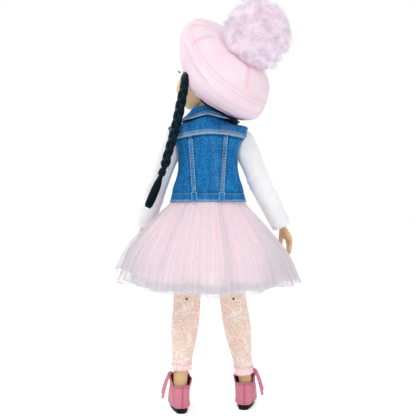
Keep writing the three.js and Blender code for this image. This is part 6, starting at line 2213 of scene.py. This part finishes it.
def boot_tie(word):
    """A soft strip round the ankle that hangs in two tails on the outer side."""
    side = LEGS[word]["side"]
    matrix = foot_matrix(word)
    build = Build()
    for way, length, fan in ((1, 22.5, 1.0), (-1, 19.0, 0.2)):
        share = np.linspace(0, 1, 26)
        x = side * (TIE_RADIUS + 0.3 + 6.8 * share**0.75)
        y = 3.0 + way * (1.3 + 1.5 * share * fan)
        z = 37.2 - length * share - 1.4 * (1 - share) ** 4
        path = np.stack([x, np.broadcast_to(y, x.shape), z], 1)
        out = np.broadcast_to(vec(side * 0.6, 1.0, 0.35), path.shape)
        ribbon(build, moved(path, matrix), out, 3.2 - 0.5 * share, 1.0)
    over = ((-1.5, 37.6), (0.4, 38.4), (1.6, 36.8), (1.0, 34.6))
    knot = curve_through(np.array([[side * (TIE_RADIUS + more), 3.0, level] for more, level in over]), 16)
    ribbon(build, moved(knot, matrix), np.broadcast_to(vec(side, 0, 0.4), knot.shape), 4.4, 1.5)
    finish_piece(build.object(f"{word}_tie_strip", suede), f"{word}_lower_leg", f"{word}_boot_tie")


# The eyelet at the knee: radius and lift of each ring
EYELET_RINGS = ((0.02, 0.1), (0.5, 0.1), (0.8, 0.45), (1.15, 0.3), (1.3, -0.5))


def legging(word):
    """One leg of the leggings: the lace, an eyelet behind the knee and two wavy trims at the hem."""
    leg = LEGS[word]
    sides = 96
    hip, knee, ankle, hem = leg["hip"], leg["knee"], leg["ankle"], leg["hem"]
    upper = limb_rings(hip, knee, THIGH, np.linspace(0.17, 0.93, 70), THIGH_RADIUS, LACE_OUT, sides)
    table = SHIN.copy()
    table[-1] = [(KNEE - hem) / (KNEE - ANKLE), 0.66, 0.66, 0.66]
    lower = limb_rings(knee, ankle, table, np.linspace(0.07, table[-1, 0], 110), SHIN_RADIUS, LACE_OUT, sides)
    coarse = np.concatenate([upper, lower])
    heights = np.linspace(coarse[0, 0, 2], coarse[-1, 0, 2], 200)
    columns = [[np.interp(-heights, -coarse[:, k, 2], coarse[:, k, i]) for i in range(3)]
               for k in range(sides)]
    points = np.array(columns).transpose(2, 0, 1)
    a, level = np.meshgrid(circle(sides), points[:, 0, 2])
    rumple = 0.22 * soft_noise(a * 2, level / 7, 160 + leg["side"])
    rumple = rumple + 0.4 * soft_noise(a * 1.3, level / 3.2, 163) * bell(level - KNEE, 9)
    scallop = step(hem + 6 - level, 0, 1) * 0.35
    rumple = rumple + scallop + 0.35 * bell(level - hem - 0.4, 0.7)
    seam_at = turned_by(a, (0 if leg["side"] < 0 else math.pi))
    rumple = rumple + 0.35 * bell(seam_at, 0.07)
    facing = normals(points)
    points = points + rumple[..., None] * facing * np.sign(facing[5, 0, 0])
    wave = np.sin(a * 12)
    points[..., 2] += np.where(level < hem + 1.5, 0.6 * wave, 0) * bell(level - hem, 1.2)
    dense = 0.75 * step(hem + 6.6 - level, 0, 0.8) + 0.9 * bell(seam_at, 0.09) + 0.25 * np.abs(np.cos(a)) ** 6
    dense = np.clip(dense + 0.5 * bell(level - hem - 0.2, 0.5), 0, 1)
    build = Build().grid(points[::-1], True, (0.078, 0.145), dense[::-1])
    made = build.object(f"{word}_legging_lace", lace)
    above, below = (tuple((knee + vec(0, 0, lift)) * MM) for lift in (7, -7))
    blend = (f"{word}_thigh", f"{word}_lower_leg", above, below)
    finish_piece(made, None, f"{word}_legging", blend)
    row = int(np.argmin(np.abs(level[:, 0] - KNEE - 1.2)))
    column = int(np.argmax(points[row, :, 1] - 0.4 * np.abs(points[row, :, 0] - knee[0])))
    turn = circle(24)
    face = np.stack([np.cos(turn), np.zeros(24), np.sin(turn)], 1)
    middle = vec(knee[0], points[row, column, 1], knee[2] + 1.2)
    rings = np.stack([middle + vec(0, lift, 0) + radius * face for radius, lift in EYELET_RINGS])
    dot = Build().grid(rings).object(f"{word}_knee_eyelet", eyelet)
    finish_piece(dot, None, blend=blend)
    trim = Build()
    ring = curve_through(points[-1], 480, True)
    away = unit((ring - points[-1].mean(0)) * vec(1, 1, 0))
    loops = ring + away * 0.35 + vec(0, 0, 1) * (0.75 * np.abs(np.sin(circle(480) * 12))[:, None] - 0.6)
    trim.tube(looped(loops), 0.34, 6, False)
    ring = curve_through(points[int(np.argmin(np.abs(level[:, 0] - hem - 6.4)))], 240, True)
    waves = ring + unit((ring - ring.mean(0)) * vec(1, 1, 0)) * 0.3
    waves = waves + vec(0, 0, 1) * (0.7 * np.sin(circle(240) * 18))[:, None]
    trim.tube(looped(waves), 0.3, 6, False)
    finish_piece(trim.object(f"{word}_lace_trim", thread_pink), f"{word}_lower_leg")


def paint_nail():
    """Pale glossy nails."""
    p = Paint("nail", Roughness=0.25, Coat_Weight=0.4)
    p.into("Base Color", p.ramp(p.noise(p.coords(), 400, 2), [(0.3, "#EDBFA6"), (0.7, "#F5CFBB")]))
    return p.made


nail_paint = paint_nail()
eyelet = paint_plain("eyelet", "#3E302C", "#66504A", 0.5, 900)
for word in ("left", "right"):
    hand(word)
    leg_skin(word)
    boot(word)
    legging(word)


# Skirt

WAIST_LEVEL, LAYER_GAP, OVERLAP = 206.7, 0.9, 0.16
# Skirt rows: share of the way down, of the flare, and of the folds
FLARE = np.array([[0, 0, 0], [0.07, 0.03, 0.05], [0.2, 0.2, 0.25], [0.42, 0.48, 0.6], [0.66, 0.77, 0.85],
                  [1, 1, 1.1]])


def skirt_rings(layer, radius, hem_level, angles, rows, gathers, folds, seed, hem_wave):
    """Rings of one skirt layer from the waist to the hem, gathered at the top."""
    out = 1.0 + layer * LAYER_GAP
    down = np.linspace(0, 1, rows)[:, None]
    flare = smooth(down, FLARE[:, 0], FLARE[:, 1])
    depth = smooth(down, FLARE[:, 0], FLARE[:, 2])
    a = angles[None]
    draw = np.random.default_rng(seed)
    big = np.cos(folds * a + np.sin(3 * a))
    soft = np.cos((folds + 5) * a + draw.uniform(0, 6)) + np.cos((folds - 5) * a + draw.uniform(0, 6))
    bend = 0.5 * np.sin(3 * a + seed) + 0.3 * np.sin(7 * a + 2 * seed)
    counts = (gathers, int(gathers * 1.31), int(gathers * 0.77))
    fine = sum(
        w * np.cos(n * (a + 0.02 * bend) + p + 1.2 * np.sin(2 * down + p))
        for w, n, p in zip((1, 0.8, 0.6), counts, draw.uniform(0, 6, 3))
    )
    sharp = np.tanh(fine * 0.9)
    ripple = depth * (3.4 * big + 0.4 * soft) + (0.3 + 0.8 * depth) * sharp * step(down, 0.0, 0.08)
    width = TRUNK_WIDE + out + flare * (radius - TRUNK_WIDE - out) + ripple
    thick = TRUNK_DEEP + out + flare * (radius - TRUNK_DEEP - out) + ripple
    power = TRUNK_POWER + flare * (2 - TRUNK_POWER)
    x = squared(np.cos(a), power) * width
    y = squared(np.sin(a), power) * thick
    level = hem_level + 10 * bell(turned_by(a, 0), 0.45) - 4 * bell(turned_by(a, math.pi / 2), 0.75)
    level = level + hem_wave * (0.35 * soft - 0.5 * big + 0.1 * sharp + 0.5 * np.sin(5 * a + seed))
    z = WAIST_LEVEL + down * (level - WAIST_LEVEL)
    return np.stack(np.broadcast_arrays(x, y, z), 2)


def skirt_layer(name, form, material, replaces, rows=46, closed_shell=False):
    """One layer in two halves that overlap in front."""
    layer, radius, hem_level, gathers, folds, seed, wave = form
    columns = 560
    for word, side in (("left", 1), ("right", -1)):
        span = np.linspace(0, math.pi + OVERLAP, columns)
        angles = math.pi / 2 - side * span
        points = skirt_rings(layer, radius, hem_level, angles, rows, gathers, folds, seed, wave)
        over = side * step(span - math.pi, -0.05, 0.1) * 0.5
        points = points + over[None, :, None] * unit(points * vec(1, 1, 0))
        down = np.linspace(0, 1, rows)[:, None]
        # Painted shade: the net greys towards the sides and low down, and its last rows take the hem's colour
        tone = 0.5 * np.clip(0.3 * step(down, 0.5, 1) + 0.9 * step(np.abs(points[..., 0]), 28, 78), 0, 1)
        tone[-5:] = np.array([0.5, 0.53, 0.58, 0.7, 1.0])[:, None]
        grid = points[::-1] if side < 0 else points[::-1, ::-1]
        build = Build()
        if closed_shell:
            build.shell(grid, 0.5, False, (0.5, 0.085), 0.0, 1)
        else:
            build.grid(grid, False, (0.55, 0.085), tone[::-1])
        made = build.object(f"{name}_{word}", material, turn_out=closed_shell)
        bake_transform(made)
        if word == "left":
            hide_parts(*replaces)


# Each layer's form: layer number, hem radius, hem level, gathers, folds, seed and hem wave
skirt_layer("tulle_top", (5, 88, 126.5, 74, 12, 3, 1.8), tulle_outer,
            ["skirt_tulle_outer"])
skirt_layer("tulle_second", (4, 83, 128, 66, 12, 7, 1.7), tulle_outer, [])
skirt_layer("tulle_third", (3, 79, 127.5, 70, 8, 12, 1.6), tulle_inner,
            ["skirt_tulle_inner"])
skirt_layer("tulle_fourth", (2, 70, 129, 62, 8, 17, 1.5), tulle_inner, [])
skirt_layer("skirt_satin", (0.6, 52, 150, 20, 8, 23, 0.6), satin,
            ["skirt_lining"], rows=34, closed_shell=True)


def ribbed_band():
    """The ribbed elastic at the waist."""
    angle = circle(360)
    points = []
    for i, level in enumerate(np.linspace(207, 212.7, 14)):
        out = 2.4 + 0.16 * np.sin(angle * 90) + 0.12 * math.sin(i * 1.4)
        x, y = oval(TRUNK_WIDE + out, TRUNK_DEEP + out, TRUNK_DEEP + out, angle, TRUNK_POWER)
        points.append(level_ring(x, y, level))
    made = Build().shell(np.array(points), 0.8, True, (0.16, 0.006)).object("waist_elastic", elastic)
    finish_piece(made, "torso", "skirt_waistband")


def hip_lace():
    """The hip part of the leggings."""
    angle = circle(160)
    points = []
    for level in np.linspace(177, 205.3, 30):
        width = np.interp(level, [177, 191.25, 205.5], [33.4, 32.6, 30]) + HIP_LACE_OUT
        x, y = oval(width, TRUNK_DEEP + HIP_LACE_OUT, TRUNK_DEEP + HIP_LACE_OUT, angle, TRUNK_POWER)
        points.append(level_ring(x, y, level))
    points = np.array(points)
    u, v = np.meshgrid(angle, np.linspace(0, 1, 30))
    points = points + (0.2 * soft_noise(u * 4, v * 6, 171))[..., None] * normals(points)
    made = Build().shell(points, 0.6, True, (0.17, 0.03), 0.55).object("hips_lace", lace)
    finish_piece(made, "torso", "leggings_hips")


# Neck rings: level and radius
NECK_RINGS = ((268, 12), (274, 11.4), (279, 10.2), (284, 9.5), (290, 9.2), (296, 9.2), (301, 9.2), (303, 8.6))


def neck():
    """The bare neck from inside the collar up into the head."""
    angle = circle(64)
    x, y = np.cos(angle), np.sin(angle)
    points = [level_ring(radius * x, radius * y, level) for level, radius in NECK_RINGS]
    dense = np.stack([curve_through(np.array(points)[:, k], 40) for k in range(64)], 1)
    made = Build().grid(closed(dense)).object("neck_skin", skin)
    finish_piece(made, "torso", "neck")


ribbed_band()
hip_lace()
neck()

# The joints' own parts stay as the CAD made them, with these materials
KEPT = {"torso_front": skin, "torso_back": skin, "hip_axle": plastic}
for word in SIDES:
    for part, paint in (("shoulder_ball", plastic), ("upper_arm", skin), ("elbow_pin", plastic),
                        ("forearm", skin), ("wrist_peg", plastic), ("knee_pin", plastic)):
        KEPT[f"{word}_{part}"] = paint
for node, paint in KEPT.items():
    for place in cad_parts[node].material_slots:
        place.material = paint
